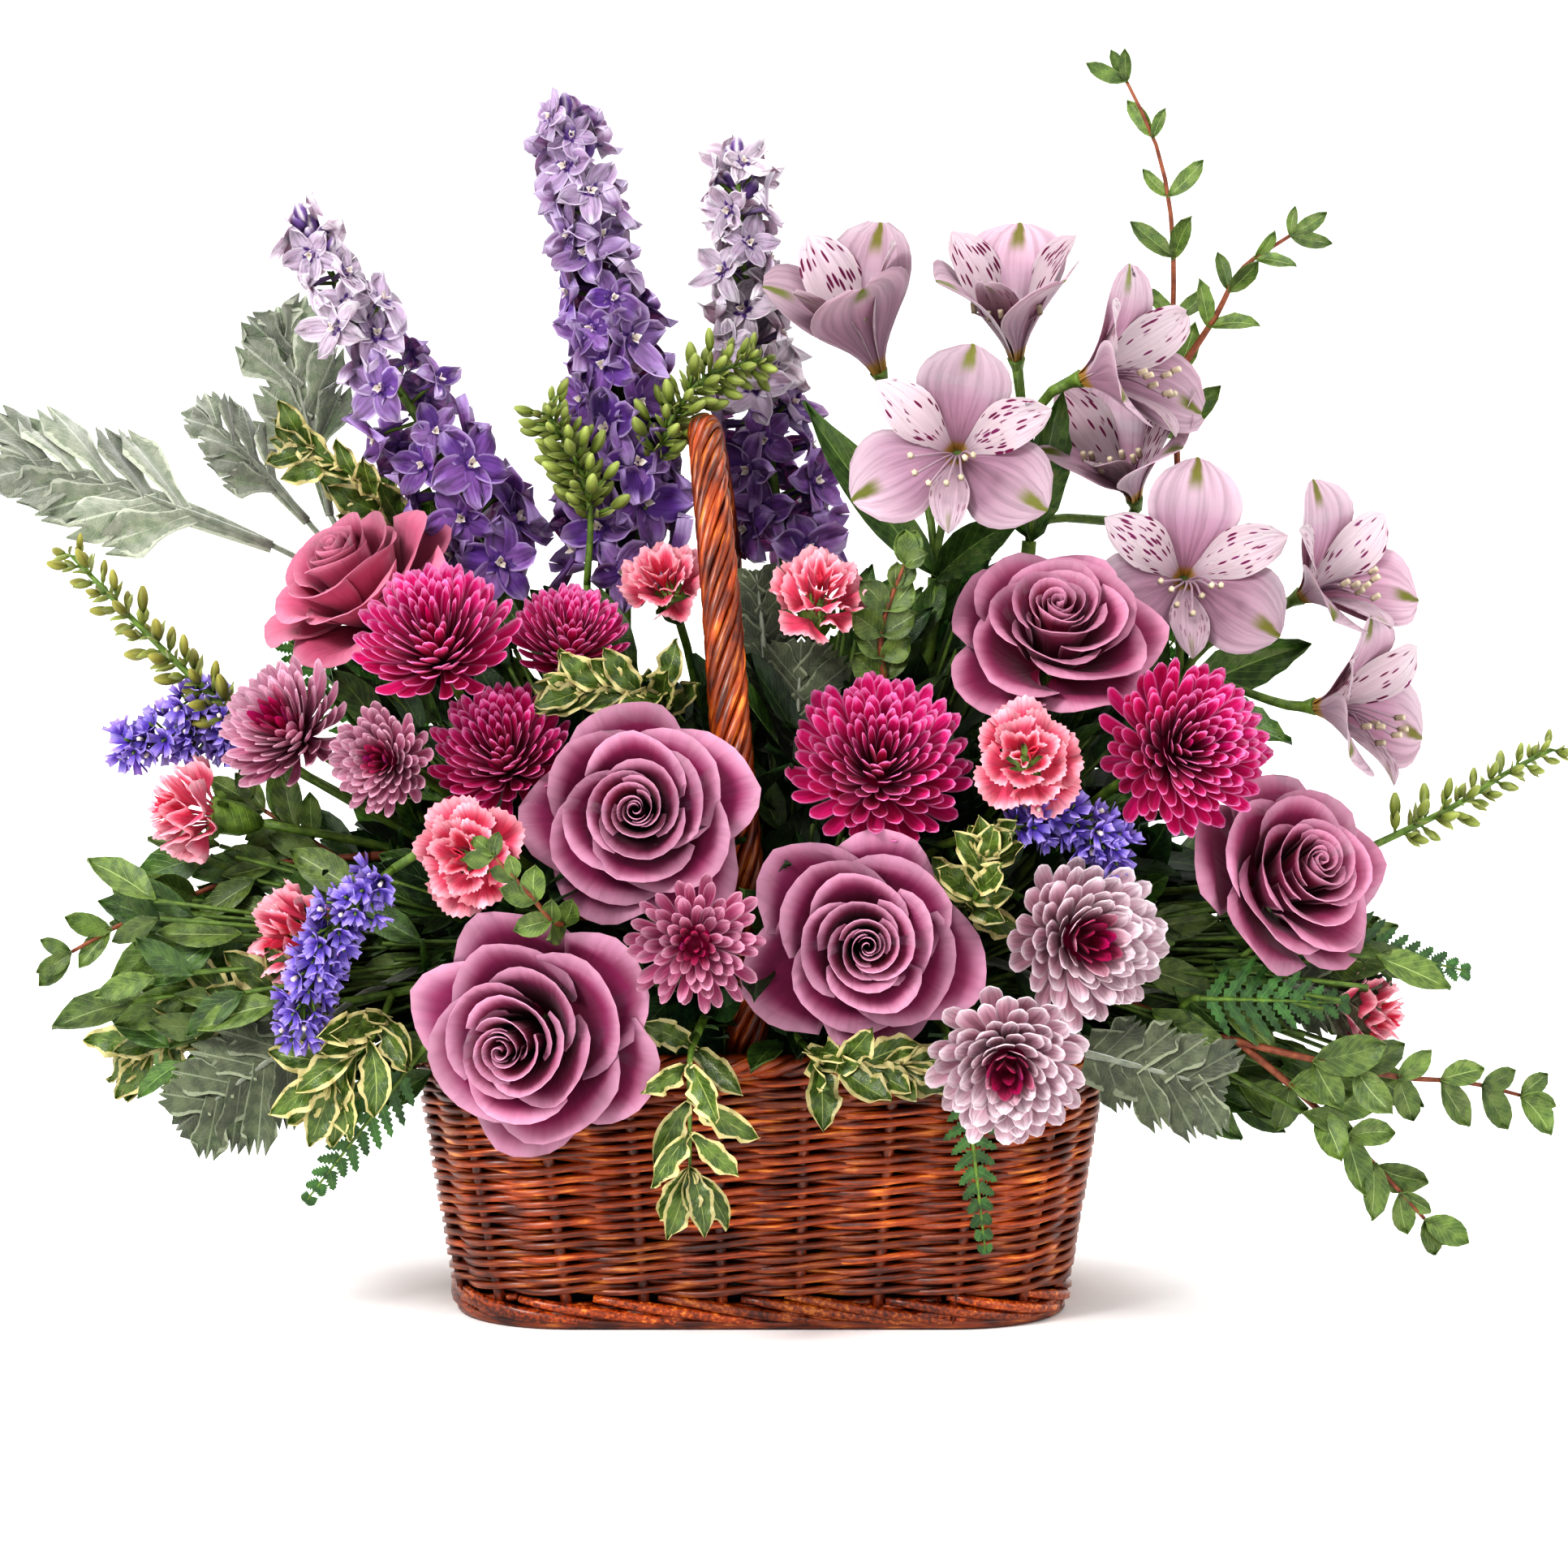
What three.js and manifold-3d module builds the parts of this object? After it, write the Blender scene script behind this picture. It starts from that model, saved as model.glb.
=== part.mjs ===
// Flower basket arrangement: a woven willow basket with a hoop handle, holding a liner and a block
// of foam, with roses, mums, mini carnations, alstroemeria, larkspur, statice and foliage in it.
// Millimetres, +Z up. The origin is the middle of the basket's underside, +X is the right of the
// front view and -Y faces the viewer.
import * as THREE from "three";
import { mergeVertices } from "three/addons/utils/BufferGeometryUtils.js";
import Module from "manifold-3d";

const wasm = await Module();
wasm.setup();

// ---------------------------------------------------------------- driving dimensions

const BASKET_HEIGHT = 100;
const BASE_HALF_X = 109; // outside of the weave at the floor
const BASE_HALF_Y = 70;
const RIM_HALF_X = 124; // outside of the weave at the rim
const RIM_HALF_Y = 82;
const CORNER_RADIUS = 42;
const WALL_THICKNESS = 6.5;
const WEAVE_ROWS = 6;
const STAKES = 26;
const WEAVE_RELIEF = 1.7;
const WEAVE_GROOVE = 2.2;
const BORDER_STEPS = 30; // a multiple of 3, so that the rope pattern closes on itself
const BORDER_SIDES = 4;
const FOOT_HEIGHT = 8;
const RIM_HEIGHT = 9;
const BASE_THICKNESS = 8;
const SEAT_GAP = 0.3; // between two pieces that rest on each other

const HANDLE_RADIUS_LOW = 8.2;
const HANDLE_RADIUS_TOP = 6.5;
const HANDLE_RADIUS_END = 5;
const HANDLE_SIDES = 6;
const HANDLE_STEPS = 18;
const HANDLE_TWIST = 0.7; // radians a step

const LINER_HALF_X = 97;
const LINER_HALF_Y = 55.4;
const LINER_CORNER = 14;
const LINER_THICKNESS = 1;
const LINER_TOP = 90;

const FOAM_HALF_X = 90;
const FOAM_HALF_Y = 53;
const FOAM_CHAMFER = 8;
const FOAM_TOP = 124;
const STEM_DEPTH = 20; // how far a stem stands in the foam
const HOLE_CLEARANCE = 0.5;
const FOOT_PITCH = 11;

const GAP = 0.5; // least distance between two nodes
const MERGE_TOLERANCE = 0.25; // faces this near to flat are joined
const SNAP = 1 / 32; // fused corners lie on a grid this fine, so that no sliver is left
const STEM_RADIUS = 2.3;
const BLADE_THICKNESS = 1.3;

// ---------------------------------------------------------------- colours

const COLOURS = {
  willow: [0x8a4a25, 0.6],
  foam: [0x2f6b3c, 0.95],
  liner: [0x2b3a2c, 0.5],
  rose: [0xb5648f, 0.7],
  rosePink: [0xc9557f, 0.7],
  magenta: [0xb01c74, 0.7],
  lilac: [0xc983b4, 0.7],
  coral: [0xef8096, 0.7],
  alstroemeria: [0xdcb3cf, 0.6],
  larkspur: [0x6f53b5, 0.7],
  larkspurPale: [0xa994d4, 0.7],
  statice: [0x6a5bc0, 0.8],
  bud: [0x93ab3f, 0.6],
  eucalyptus: [0x5b8a3c, 0.6],
  pittosporum: [0x6d8a45, 0.5],
  fern: [0x2f6130, 0.6],
  dustyMiller: [0x9fb0a0, 0.9],
};

// ---------------------------------------------------------------- small helpers

const UP = new THREE.Vector3(0, 0, 1);
const FRONT = new THREE.Vector3(0, -1, 0);
const GOLDEN_TURN = turns(0.381966);

/** A share of a full turn, in radians. */
function turns(share) {
  return 2 * Math.PI * share;
}

/** A vector from three numbers or from a list of three. */
function vec(x, y, z) {
  return Array.isArray(x) ? new THREE.Vector3(...x) : new THREE.Vector3(x, y, z);
}

/** A seeded source of even random numbers from 0 to 1. */
function seeded(seed) {
  let state = seed >>> 0;
  return () => {
    state = (state + 0x6d2b79f5) >>> 0;
    let mixed = Math.imul(state ^ (state >>> 15), 1 | state);
    mixed = (mixed + Math.imul(mixed ^ (mixed >>> 7), 61 | mixed)) ^ mixed;
    return ((mixed ^ (mixed >>> 14)) >>> 0) / 4294967296;
  };
}

/** The way a bloom faces: azimuth 0 looks out of the front and grows to the right, in degrees. */
function facing(azimuth, elevation) {
  const turn = THREE.MathUtils.degToRad(azimuth);
  const tilt = THREE.MathUtils.degToRad(elevation);
  return vec(Math.sin(turn) * Math.cos(tilt), -Math.cos(turn) * Math.cos(tilt), Math.sin(tilt));
}

/** The placement that carries local +Z to an axis, with local +Y as near to upright as it can be. */
function headPlacement(centre, axis) {
  const across = (Math.abs(axis.z) > 0.98 ? vec(0, 1, 0) : vec(0, 0, 1)).cross(axis).normalize();
  const upward = axis.clone().cross(across);
  return new THREE.Matrix4().makeBasis(across, upward, axis).setPosition(centre);
}

/** The placement that carries local +Y along a leaf and local +Z to the side its face looks. */
function leafPlacement(root, direction, face) {
  const along = direction.clone().normalize();
  const across = along.clone().cross(face).normalize();
  const normal = across.clone().cross(along);
  return new THREE.Matrix4().makeBasis(across, along, normal).setPosition(root);
}

/** A quadratic through a root, a pull and a tip value. */
function bend([root, pull, tip], share) {
  return root * (1 - share) ** 2 + 2 * pull * share * (1 - share) + tip * share ** 2;
}

// ---------------------------------------------------------------- solids

/** A closed geometry as a solid, its shared corners welded and its faces turned outwards. */
function toSolid(geometry) {
  const bare = new THREE.BufferGeometry();
  bare.setAttribute("position", geometry.getAttribute("position"));
  bare.setIndex(geometry.getIndex());
  const welded = mergeVertices(bare, 1e-4);
  const corners = welded.getIndex().array;
  const kept = [];
  for (let i = 0; i < corners.length; i += 3) {
    const [a, b, c] = [corners[i], corners[i + 1], corners[i + 2]];
    if (a !== b && b !== c && c !== a) kept.push(a, b, c);
  }
  const solid = solidFrom(welded.getAttribute("position").array, kept);
  return solid.volume() > 0 ? solid : solidFrom(welded.getAttribute("position").array, kept.reverse());
}

function solidFrom(points, corners) {
  return new wasm.Manifold(new wasm.Mesh({
    numProp: 3,
    vertProperties: new Float32Array(points),
    triVerts: new Uint32Array(corners),
  }));
}

/** The largest of a solid's separate bodies, without the shells of its sealed hollows. */
function largestBody(solid) {
  return solid.decompose().reduce((best, body) => (body.volume() > best.volume() ? body : best));
}

/** A solid as a geometry that a mesh can show. */
function toGeometry(solid) {
  const mesh = solid.getMesh();
  const geometry = new THREE.BufferGeometry();
  const points = new Float32Array(mesh.vertProperties);
  geometry.setAttribute("position", new THREE.BufferAttribute(points, 3));
  geometry.setIndex(new THREE.BufferAttribute(new Uint32Array(mesh.triVerts), 1));
  geometry.computeVertexNormals();
  return geometry;
}

/** Moves every point of a geometry by a rule that takes the point and its number. */
function reshape(geometry, rule) {
  const position = geometry.getAttribute("position");
  for (let i = 0; i < position.count; i += 1) {
    const moved = rule(vec(position.getX(i), position.getY(i), position.getZ(i)), i);
    position.setXYZ(i, moved.x, moved.y, moved.z);
  }
  return geometry;
}

/** A rod of varying radius along a curve, closed at both ends. */
function sweep(curve, steps, sides, radiusAt) {
  const frames = curve.computeFrenetFrames(steps, false);
  return reshape(new THREE.CylinderGeometry(1, 1, 1, sides, steps), (point) => {
    const step = Math.round((0.5 - point.y) * steps);
    const angle = Math.atan2(point.z, point.x);
    const reach = Math.hypot(point.x, point.z) > 0.5 ? radiusAt(step / steps, angle) : 0;
    return curve.getPointAt(step / steps)
      .addScaledVector(frames.normals[step], Math.cos(angle) * reach)
      .addScaledVector(frames.binormals[step], Math.sin(angle) * reach);
  });
}

/** A thin blade of even thickness on surface(u, v), with u from -1 to 1 and v from 0 to 1. */
function blade(surface, across, along, thickness = BLADE_THICKNESS) {
  const grid = new THREE.PlaneGeometry(2, 1, across, along);
  reshape(grid, (point) => surface(point.x, point.y + 0.5));
  grid.computeVertexNormals();
  const middle = grid.getAttribute("position");
  const normal = grid.getAttribute("normal");
  const count = middle.count;
  const points = new Float32Array(count * 6);
  for (let i = 0; i < count; i += 1) {
    const shift = vec(normal.getX(i), normal.getY(i), normal.getZ(i)).multiplyScalar(thickness / 2);
    const point = vec(middle.getX(i), middle.getY(i), middle.getZ(i));
    points.set(point.clone().add(shift).toArray(), i * 3);
    points.set(point.clone().sub(shift).toArray(), (i + count) * 3);
  }
  const front = grid.getIndex().array;
  const corners = [];
  const edges = new Map();
  for (let i = 0; i < front.length; i += 3) {
    const triangle = [front[i], front[i + 1], front[i + 2]];
    corners.push(...triangle, triangle[2] + count, triangle[1] + count, triangle[0] + count);
    triangle.forEach((from, side) => edges.set(`${from},${triangle[(side + 1) % 3]}`, from));
  }
  for (const key of edges.keys()) {
    const [from, to] = key.split(",").map(Number);
    if (edges.has(`${to},${from}`)) continue;
    corners.push(to, from, from + count, to, from + count, to + count);
  }
  const closed = new THREE.BufferGeometry();
  closed.setAttribute("position", new THREE.BufferAttribute(points, 3));
  closed.setIndex(corners);
  return closed;
}

/**
 * A leaf or bud along local +Y, its face to local +Z and a keel along its back.
 * The widest place is at `belly`, the tip drops by `droop` and the edge swings by `wave`.
 */
function leafBody({ length, width, rings = 3, thickness = 2, belly = 0.5, droop = 0, wave = 0 }) {
  const power = Math.log(0.5) / Math.log(belly);
  return reshape(new THREE.SphereGeometry(1, 3, rings).rotateY(-Math.PI / 2), (point) => {
    const along = Math.acos(THREE.MathUtils.clamp(point.y, -1, 1)) / Math.PI;
    const isEven = Math.round(along * rings) % 2 === 0;
    const spread = Math.sin(Math.PI * along ** power);
    const side = Math.abs(point.x) > 0.01 ? Math.sign(point.x) : 0;
    const isPole = Math.abs(point.y) > 0.99;
    const swing = isPole ? 0 : (isEven ? wave : -wave);
    return vec(
      side * (width / 2) * spread * (wave > 0 && isEven ? 0.75 : 1),
      along * length,
      (side === 0 ? 0.5 * swing - thickness * spread : swing) - droop * along ** 2,
    );
  });
}

/**
 * A closed head round local +Z. Each ring is a rule that takes the step round the head and gives
 * how far out and how high that point is, and by what part of a step it is shifted round. The
 * first and last rings lie on the axis.
 */
function rosette(around, rings, size) {
  const axis = rings.map((ring, order) => new THREE.Vector2(1, order));
  return reshape(new THREE.LatheGeometry(axis, around), (_, index) => {
    const step = Math.floor(index / rings.length) % around;
    const [reach, rise, shift = 0] = rings[index % rings.length](step);
    const angle = turns((step + shift) / around);
    return vec(Math.cos(angle) * reach * size, Math.sin(angle) * reach * size, rise * size);
  });
}

/** A five-petalled floret or a plain cup, its point at the root and its mouth to `direction`. */
function floret(root, direction, depth, mouth, around, notch) {
  const cup = rosette(around, [
    () => [0, 0],
    (step) => (step % 2 === 0 || notch === 1 ? [mouth, depth] : [mouth * notch, depth * 0.9]),
    () => [0, depth * 0.8],
  ], 1);
  return cup.applyMatrix4(headPlacement(root, direction));
}

// ---------------------------------------------------------------- nodes and their clearance

const placed = [];
const holes = [];
const arrangement = new THREE.Group();

function boxesMeet(one, other, margin) {
  return [0, 1, 2].every((k) => one.min[k] < other.max[k] + margin && other.min[k] < one.max[k] + margin);
}

/** Whether a solid keeps its distance from every node that is already placed. */
function isClear(solid, others = placed) {
  const box = solid.boundingBox();
  return others.every((node) => !boxesMeet(box, node.box, GAP) || solid.minGap(node.solid, GAP) > GAP * 0.99);
}

/** Adds a finished solid to the arrangement under its name. */
function place(name, colour, solid) {
  const [tint, roughness] = COLOURS[colour];
  const material = new THREE.MeshStandardMaterial({ color: tint, roughness, metalness: 0 });
  const mesh = new THREE.Mesh(toGeometry(solid), material);
  mesh.name = name;
  arrangement.add(mesh);
  placed.push({ solid, box: solid.boundingBox() });
}

/** One node that grows: pieces that hold together, and repeats that stay clear of other nodes. */
class Bunch {
  constructor(name, colour) {
    this.name = name;
    this.colour = colour;
    this.pieces = [];
  }

  /** Adds a geometry whether or not it is clear. */
  add(geometry) {
    this.pieces.push(toSolid(geometry));
  }

  /** Adds the first of several forms of a repeat that is clear of every other node. */
  offer(forms) {
    for (const form of forms) {
      const solid = toSolid(form());
      if (isClear(solid, [...placed, foam])) {
        this.pieces.push(solid);
        return;
      }
    }
  }

  /** Fuses the pieces, fills what the fusing sealed, drops loose scraps and places the node. */
  close() {
    const fused = largestBody(wasm.Manifold.union(this.pieces).simplify(MERGE_TOLERANCE));
    const { vertProperties, triVerts } = fused.getMesh();
    const snapped = vertProperties.map((value) => Math.round(value / SNAP) * SNAP);
    place(this.name, this.colour, largestBody(solidFrom(snapped, triVerts).simplify(2 * SNAP)));
  }
}

// ---------------------------------------------------------------- the basket

/** A rounded rectangle as a path that runs counterclockwise from the middle of its right side. */
function roundedRectangle(halfX, halfY, corner) {
  const path = new THREE.Path();
  const [x, y] = [halfX - corner, halfY - corner];
  path.moveTo(halfX, 0);
  path.lineTo(halfX, y);
  path.absarc(x, y, corner, 0, Math.PI / 2, false);
  path.lineTo(-x, halfY);
  path.absarc(-x, y, corner, Math.PI / 2, Math.PI, false);
  path.lineTo(-halfX, -y);
  path.absarc(-x, -y, corner, Math.PI, 1.5 * Math.PI, false);
  path.lineTo(x, -halfY);
  path.absarc(x, -y, corner, 1.5 * Math.PI, 2 * Math.PI, false);
  path.lineTo(halfX, 0);
  return path;
}

/** Half sizes of the basket's outside at a height. */
function basketHalf(z) {
  const share = z / BASKET_HEIGHT;
  return [
    THREE.MathUtils.lerp(BASE_HALF_X, RIM_HALF_X, share),
    THREE.MathUtils.lerp(BASE_HALF_Y, RIM_HALF_Y, share),
  ];
}

/** A closed ring of outline points: levels of { z, halfX, halfY, corner } with an offset rule. */
function outlineRing(levels, around, offsetAt) {
  const profile = levels.map((level) => new THREE.Vector2(level.halfX, level.z));
  const ring = new THREE.LatheGeometry([...profile, profile[0]], around);
  const paths = levels.map((level) => roundedRectangle(level.halfX, level.halfY, level.corner));
  return reshape(ring, (_, index) => {
    const step = Math.floor(index / (levels.length + 1)) % around;
    const order = (index % (levels.length + 1)) % levels.length;
    const share = step / around;
    const point = paths[order].getPointAt(share);
    const tangent = paths[order].getTangentAt(share);
    const offset = offsetAt(levels[order], step);
    return vec(point.x + tangent.y * offset, point.y - tangent.x * offset, levels[order].z);
  });
}

/** The woven wall: rows of weavers that pass in front of and behind the stakes by turns. */
function basketWall() {
  const bottom = FOOT_HEIGHT + SEAT_GAP;
  const top = BASKET_HEIGHT - RIM_HEIGHT - SEAT_GAP;
  const rowHeight = (top - bottom) / WEAVE_ROWS;
  const levels = [];
  const addLevel = (z, row, kind) => {
    const [halfX, halfY] = basketHalf(z);
    levels.push({ z, halfX, halfY, corner: CORNER_RADIUS, row, kind });
  };
  for (let row = 0; row < WEAVE_ROWS; row += 1) {
    addLevel(bottom + row * rowHeight, row, "groove");
    addLevel(bottom + (row + 0.5) * rowHeight, row, "weaver");
  }
  addLevel(top, WEAVE_ROWS, "groove");
  addLevel(top, 0, "inside");
  addLevel(bottom, 0, "inside");
  const offsetAt = (level, step) => {
    if (level.kind === "inside") return -WALL_THICKNESS;
    if (level.kind === "groove") return -WEAVE_GROOVE;
    return (step + level.row) % 2 === 0 ? WEAVE_RELIEF : -WEAVE_RELIEF * 0.6;
  };
  return outlineRing(levels, STAKES, offsetAt);
}

/** A border of rods laid like a rope round the outline at a height. */
function ropeBorder(halfX, halfY, middle, halfWidth, halfHeight, lean) {
  const path = roundedRectangle(halfX, halfY, CORNER_RADIUS);
  const ring = new THREE.TorusGeometry(2, 1, BORDER_SIDES, BORDER_STEPS);
  return reshape(ring, (_, index) => {
    const step = index % (BORDER_STEPS + 1) % BORDER_STEPS;
    const side = Math.floor(index / (BORDER_STEPS + 1)) % BORDER_SIDES;
    const angle = turns((side + 0.5) / BORDER_SIDES);
    const swell = (step + lean * side + BORDER_SIDES) % 3 === 0 ? 0.8 : 1;
    const point = path.getPointAt(step / BORDER_STEPS);
    const tangent = path.getTangentAt(step / BORDER_STEPS);
    const out = Math.sign(Math.cos(angle)) * halfWidth * swell;
    const rise = Math.sign(Math.sin(angle)) * halfHeight;
    return vec(point.x + tangent.y * out, point.y - tangent.x * out, middle + rise * (rise > 0 ? swell : 1));
  });
}

function footBorder() {
  const [halfX, halfY] = basketHalf(FOOT_HEIGHT / 2);
  return ropeBorder(halfX - 3, halfY - 3, FOOT_HEIGHT / 2, 5, FOOT_HEIGHT / 2, 1);
}

function rimBorder() {
  const middle = BASKET_HEIGHT - RIM_HEIGHT / 2;
  const [halfX, halfY] = basketHalf(middle);
  return ropeBorder(halfX - 2.5, halfY - 2.5, middle, 4.8, RIM_HEIGHT / 2, -1);
}

/** The flat woven bottom, flush with the foot border it is tied into. */
function basketBase() {
  const [halfX, halfY] = basketHalf(0);
  const inset = 11.2;
  const outline = roundedRectangle(halfX - inset, halfY - inset, CORNER_RADIUS - inset);
  const shape = new THREE.Shape(outline.getSpacedPoints(24).slice(0, -1));
  return new THREE.ExtrudeGeometry(shape, { depth: BASE_THICKNESS, bevelEnabled: false });
}

/** The route of the hoop handle, from its front end inside the wall to its back end. */
const HANDLE_ROUTE = [
  [-5, -61.5, 30],
  [-5, -64.6, 92],
  [-6, -72, 150],
  [-10, -67, 205],
  [-14, -50, 258],
  [-18, -26, 297],
  [-20, 0, 311],
  [-18, 26, 297],
  [-14, 50, 258],
  [-10, 67, 205],
  [-6, 72, 150],
  [-5, 64.6, 92],
  [-5, 61.5, 30],
];

/** The hoop handle of twisted rods, thinner at its top and at its two pushed-in ends. */
function handle() {
  const route = new THREE.CatmullRomCurve3(HANDLE_ROUTE.map(vec));
  return sweep(route, HANDLE_STEPS, HANDLE_SIDES, (share, angle) => {
    const fromTop = Math.abs(share - 0.5) * 2;
    const thick = fromTop < 0.72
      ? THREE.MathUtils.lerp(HANDLE_RADIUS_TOP, HANDLE_RADIUS_LOW, fromTop / 0.72)
      : THREE.MathUtils.lerp(HANDLE_RADIUS_LOW, HANDLE_RADIUS_END, (fromTop - 0.72) / 0.28);
    const lobe = Math.cos((HANDLE_SIDES / 2) * (angle + share * HANDLE_STEPS * HANDLE_TWIST));
    return thick * (0.93 + 0.07 * lobe);
  });
}

/** The thin watertight tub that keeps the foam's water off the willow. */
function liner() {
  const bottom = BASE_THICKNESS + SEAT_GAP;
  const outer = roundedRectangle(LINER_HALF_X, LINER_HALF_Y, LINER_CORNER);
  const inner = roundedRectangle(
    LINER_HALF_X - LINER_THICKNESS,
    LINER_HALF_Y - LINER_THICKNESS,
    LINER_CORNER - LINER_THICKNESS,
  );
  const tub = (path, from) => {
    const shape = new THREE.Shape(path.getPoints(1).slice(0, -1));
    const block = new THREE.ExtrudeGeometry(shape, { depth: LINER_TOP - from, bevelEnabled: false });
    return toSolid(block.translate(0, 0, from));
  };
  const hollow = tub(inner, bottom + LINER_THICKNESS);
  const room = hollow.add(hollow.translate(0, 0, LINER_THICKNESS));
  return tub(outer, bottom).subtract(room);
}

/** The foam block, chamfered on its upright edges, before the stems go in. */
function foamBlock() {
  const outline = [
    [FOAM_HALF_X, FOAM_HALF_Y - FOAM_CHAMFER],
    [FOAM_HALF_X - FOAM_CHAMFER, FOAM_HALF_Y],
    [-FOAM_HALF_X + FOAM_CHAMFER, FOAM_HALF_Y],
    [-FOAM_HALF_X, FOAM_HALF_Y - FOAM_CHAMFER],
    [-FOAM_HALF_X, -FOAM_HALF_Y + FOAM_CHAMFER],
    [-FOAM_HALF_X + FOAM_CHAMFER, -FOAM_HALF_Y],
    [FOAM_HALF_X - FOAM_CHAMFER, -FOAM_HALF_Y],
    [FOAM_HALF_X, -FOAM_HALF_Y + FOAM_CHAMFER],
  ];
  const shape = new THREE.Shape(outline.map(([x, y]) => new THREE.Vector2(x, y)));
  const bottom = BASE_THICKNESS + LINER_THICKNESS + 2 * SEAT_GAP;
  const block = new THREE.ExtrudeGeometry(shape, { depth: FOAM_TOP - bottom, bevelEnabled: false });
  return toSolid(block.translate(0, 0, bottom));
}

// ---------------------------------------------------------------- stems

/** Every place where a stem may enter the foam: its top, and its sides above the rim. */
function footPlaces() {
  const places = [];
  const edge = FOAM_CHAMFER + 2;
  for (let x = -FOAM_HALF_X + edge; x <= FOAM_HALF_X - edge + 0.1; x += FOOT_PITCH) {
    for (let y = -FOAM_HALF_Y + edge; y <= FOAM_HALF_Y - edge + 0.1; y += FOOT_PITCH) {
      places.push({ point: vec(x, y, FOAM_TOP), inward: vec(0, 0, -1) });
    }
    for (const side of [-1, 1]) {
      places.push({ point: vec(x, side * FOAM_HALF_Y, 112), inward: vec(0, -side, 0) });
    }
  }
  for (let y = -FOAM_HALF_Y + edge; y <= FOAM_HALF_Y - edge + 0.1; y += FOOT_PITCH) {
    for (const side of [-1, 1]) {
      places.push({ point: vec(side * FOAM_HALF_X, y, 112), inward: vec(-side, 0, 0) });
    }
  }
  return places;
}

const feet = footPlaces();

/** A stem's route: straight in the foam, then a bend to `end`, then on through the other points. */
function stemRoute(foot, points, arrival, depth, slack) {
  const end = points[0];
  const reach = foot.point.distanceTo(end) * slack;
  const route = new THREE.CurvePath();
  route.add(new THREE.LineCurve3(foot.point.clone().addScaledVector(foot.inward, depth), foot.point));
  route.add(new THREE.CubicBezierCurve3(
    foot.point,
    foot.point.clone().addScaledVector(foot.inward, -reach),
    end.clone().addScaledVector(arrival, -reach),
    end,
  ));
  if (points.length > 1) route.add(new THREE.CatmullRomCurve3(points));
  return route;
}

/** The plain hole that a stem stands in: the stem's own shape, wider and a little deeper. */
function boreFor(route, steps, radiusAt) {
  const deep = route.getPointAt(0);
  const away = deep.clone().sub(route.getPointAt(1 / steps)).setLength(HOLE_CLEARANCE);
  const wide = (share) => radiusAt(share) + 2 * HOLE_CLEARANCE;
  return reshape(sweep(route, steps, 3, wide), (point) => (
    point.distanceTo(deep) < wide(0) * 1.01 ? point.add(away) : point));
}

/**
 * Roots a stem in the foam at the free place nearest to where it would be pushed in, and adds it.
 * Returns the route that the stem takes.
 */
function root(bunch, points, arrival, radius = STEM_RADIUS, stepLength = 58) {
  const start = points[0];
  const low = start.z < FOAM_TOP + 20;
  const wish = vec(start.x * (low ? 0.8 : 0.45), start.y * (low ? 0.8 : 0.4), low ? 112 : FOAM_TOP);
  const order = [...feet].sort((one, other) => one.point.distanceTo(wish) - other.point.distanceTo(wish));
  const choices = order.flatMap((foot) => [0.36, 0.22, 0.5].map((slack) => [foot, slack]));
  for (const [foot, slack] of choices) {
    const route = stemRoute(foot, points, arrival, STEM_DEPTH, slack);
    const steps = Math.max(4, Math.ceil(route.getLength() / stepLength));
    const taper = (share) => radius * (1 - 0.35 * share);
    const stem = toSolid(sweep(route, steps, 3, taper));
    if (!isClear(stem)) continue;
    holes.push(toSolid(boreFor(route, steps, taper)));
    bunch.pieces.push(stem);
    feet.splice(feet.indexOf(foot), 1);
    return route;
  }
  throw new Error(`${bunch.name} has no free place in the foam`);
}

// ---------------------------------------------------------------- blooms

/** Forms of a repeat at full size and, where a neighbour is in its way, smaller. */
function sizes(make) {
  return [1, 0.88, 0.75, 0.6].map((size) => () => make(size));
}

// Layers of a rose: petals, half the angle one spans, then root, pull and lip as shares of the
// head's radius, outwards and along the axis, and how many strips a petal has each way.
const ROSE_LAYERS = [
  { count: 3, halfAngle: 1.0, radii: [0.3, 0.86, 0.7], heights: [-0.35, -0.3, 0.4], strips: [2, 1] },
  { count: 5, halfAngle: 0.6, radii: [0.24, 1.0, 1.0], heights: [-0.66, -0.5, 0.16], strips: [2, 2] },
];

/** A rose head: a bud with layers of cupped petals, on its calyx. */
function rose(bunch, centre, axis, radius) {
  const spot = headPlacement(centre, axis);
  const bud = rosette(5, [
    () => [0, -0.85],
    () => [0.28, -0.6],
    () => [0.46, -0.1],
    (step) => [step === 0 ? 0.34 : 0.45, step === 0 ? 0.42 : 0.5],
    () => [0, 0.3],
  ], radius);
  bunch.add(bud.applyMatrix4(spot));
  ROSE_LAYERS.forEach(({ count, halfAngle, radii, heights, strips }, layer) => {
    for (let i = 0; i < count; i += 1) {
      const turn = turns(i / count) + layer * 0.5;
      const surface = (size) => (u, v) => {
        const angle = turn + u * halfAngle * (0.15 + 0.85 * Math.sin(Math.PI * Math.min(1, 0.8 * v)));
        const reach = (bend(radii, v * size) + 0.05 * u) * radius;
        const rise = (bend(heights, v * size) - 0.13 * u * u * v) * radius;
        return vec(Math.cos(angle) * reach, Math.sin(angle) * reach, rise);
      };
      bunch.offer(sizes((size) => blade(surface(size), ...strips).applyMatrix4(spot)));
    }
  });
}

/** Forms of a whole head that is raised by a rule: as it is, and drawn in where it is crowded. */
function headForms(make, centre, axis) {
  return [1, 0.95, 0.9, 0.84].map((size) => () => make(size).applyMatrix4(headPlacement(centre, axis)));
}

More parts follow.
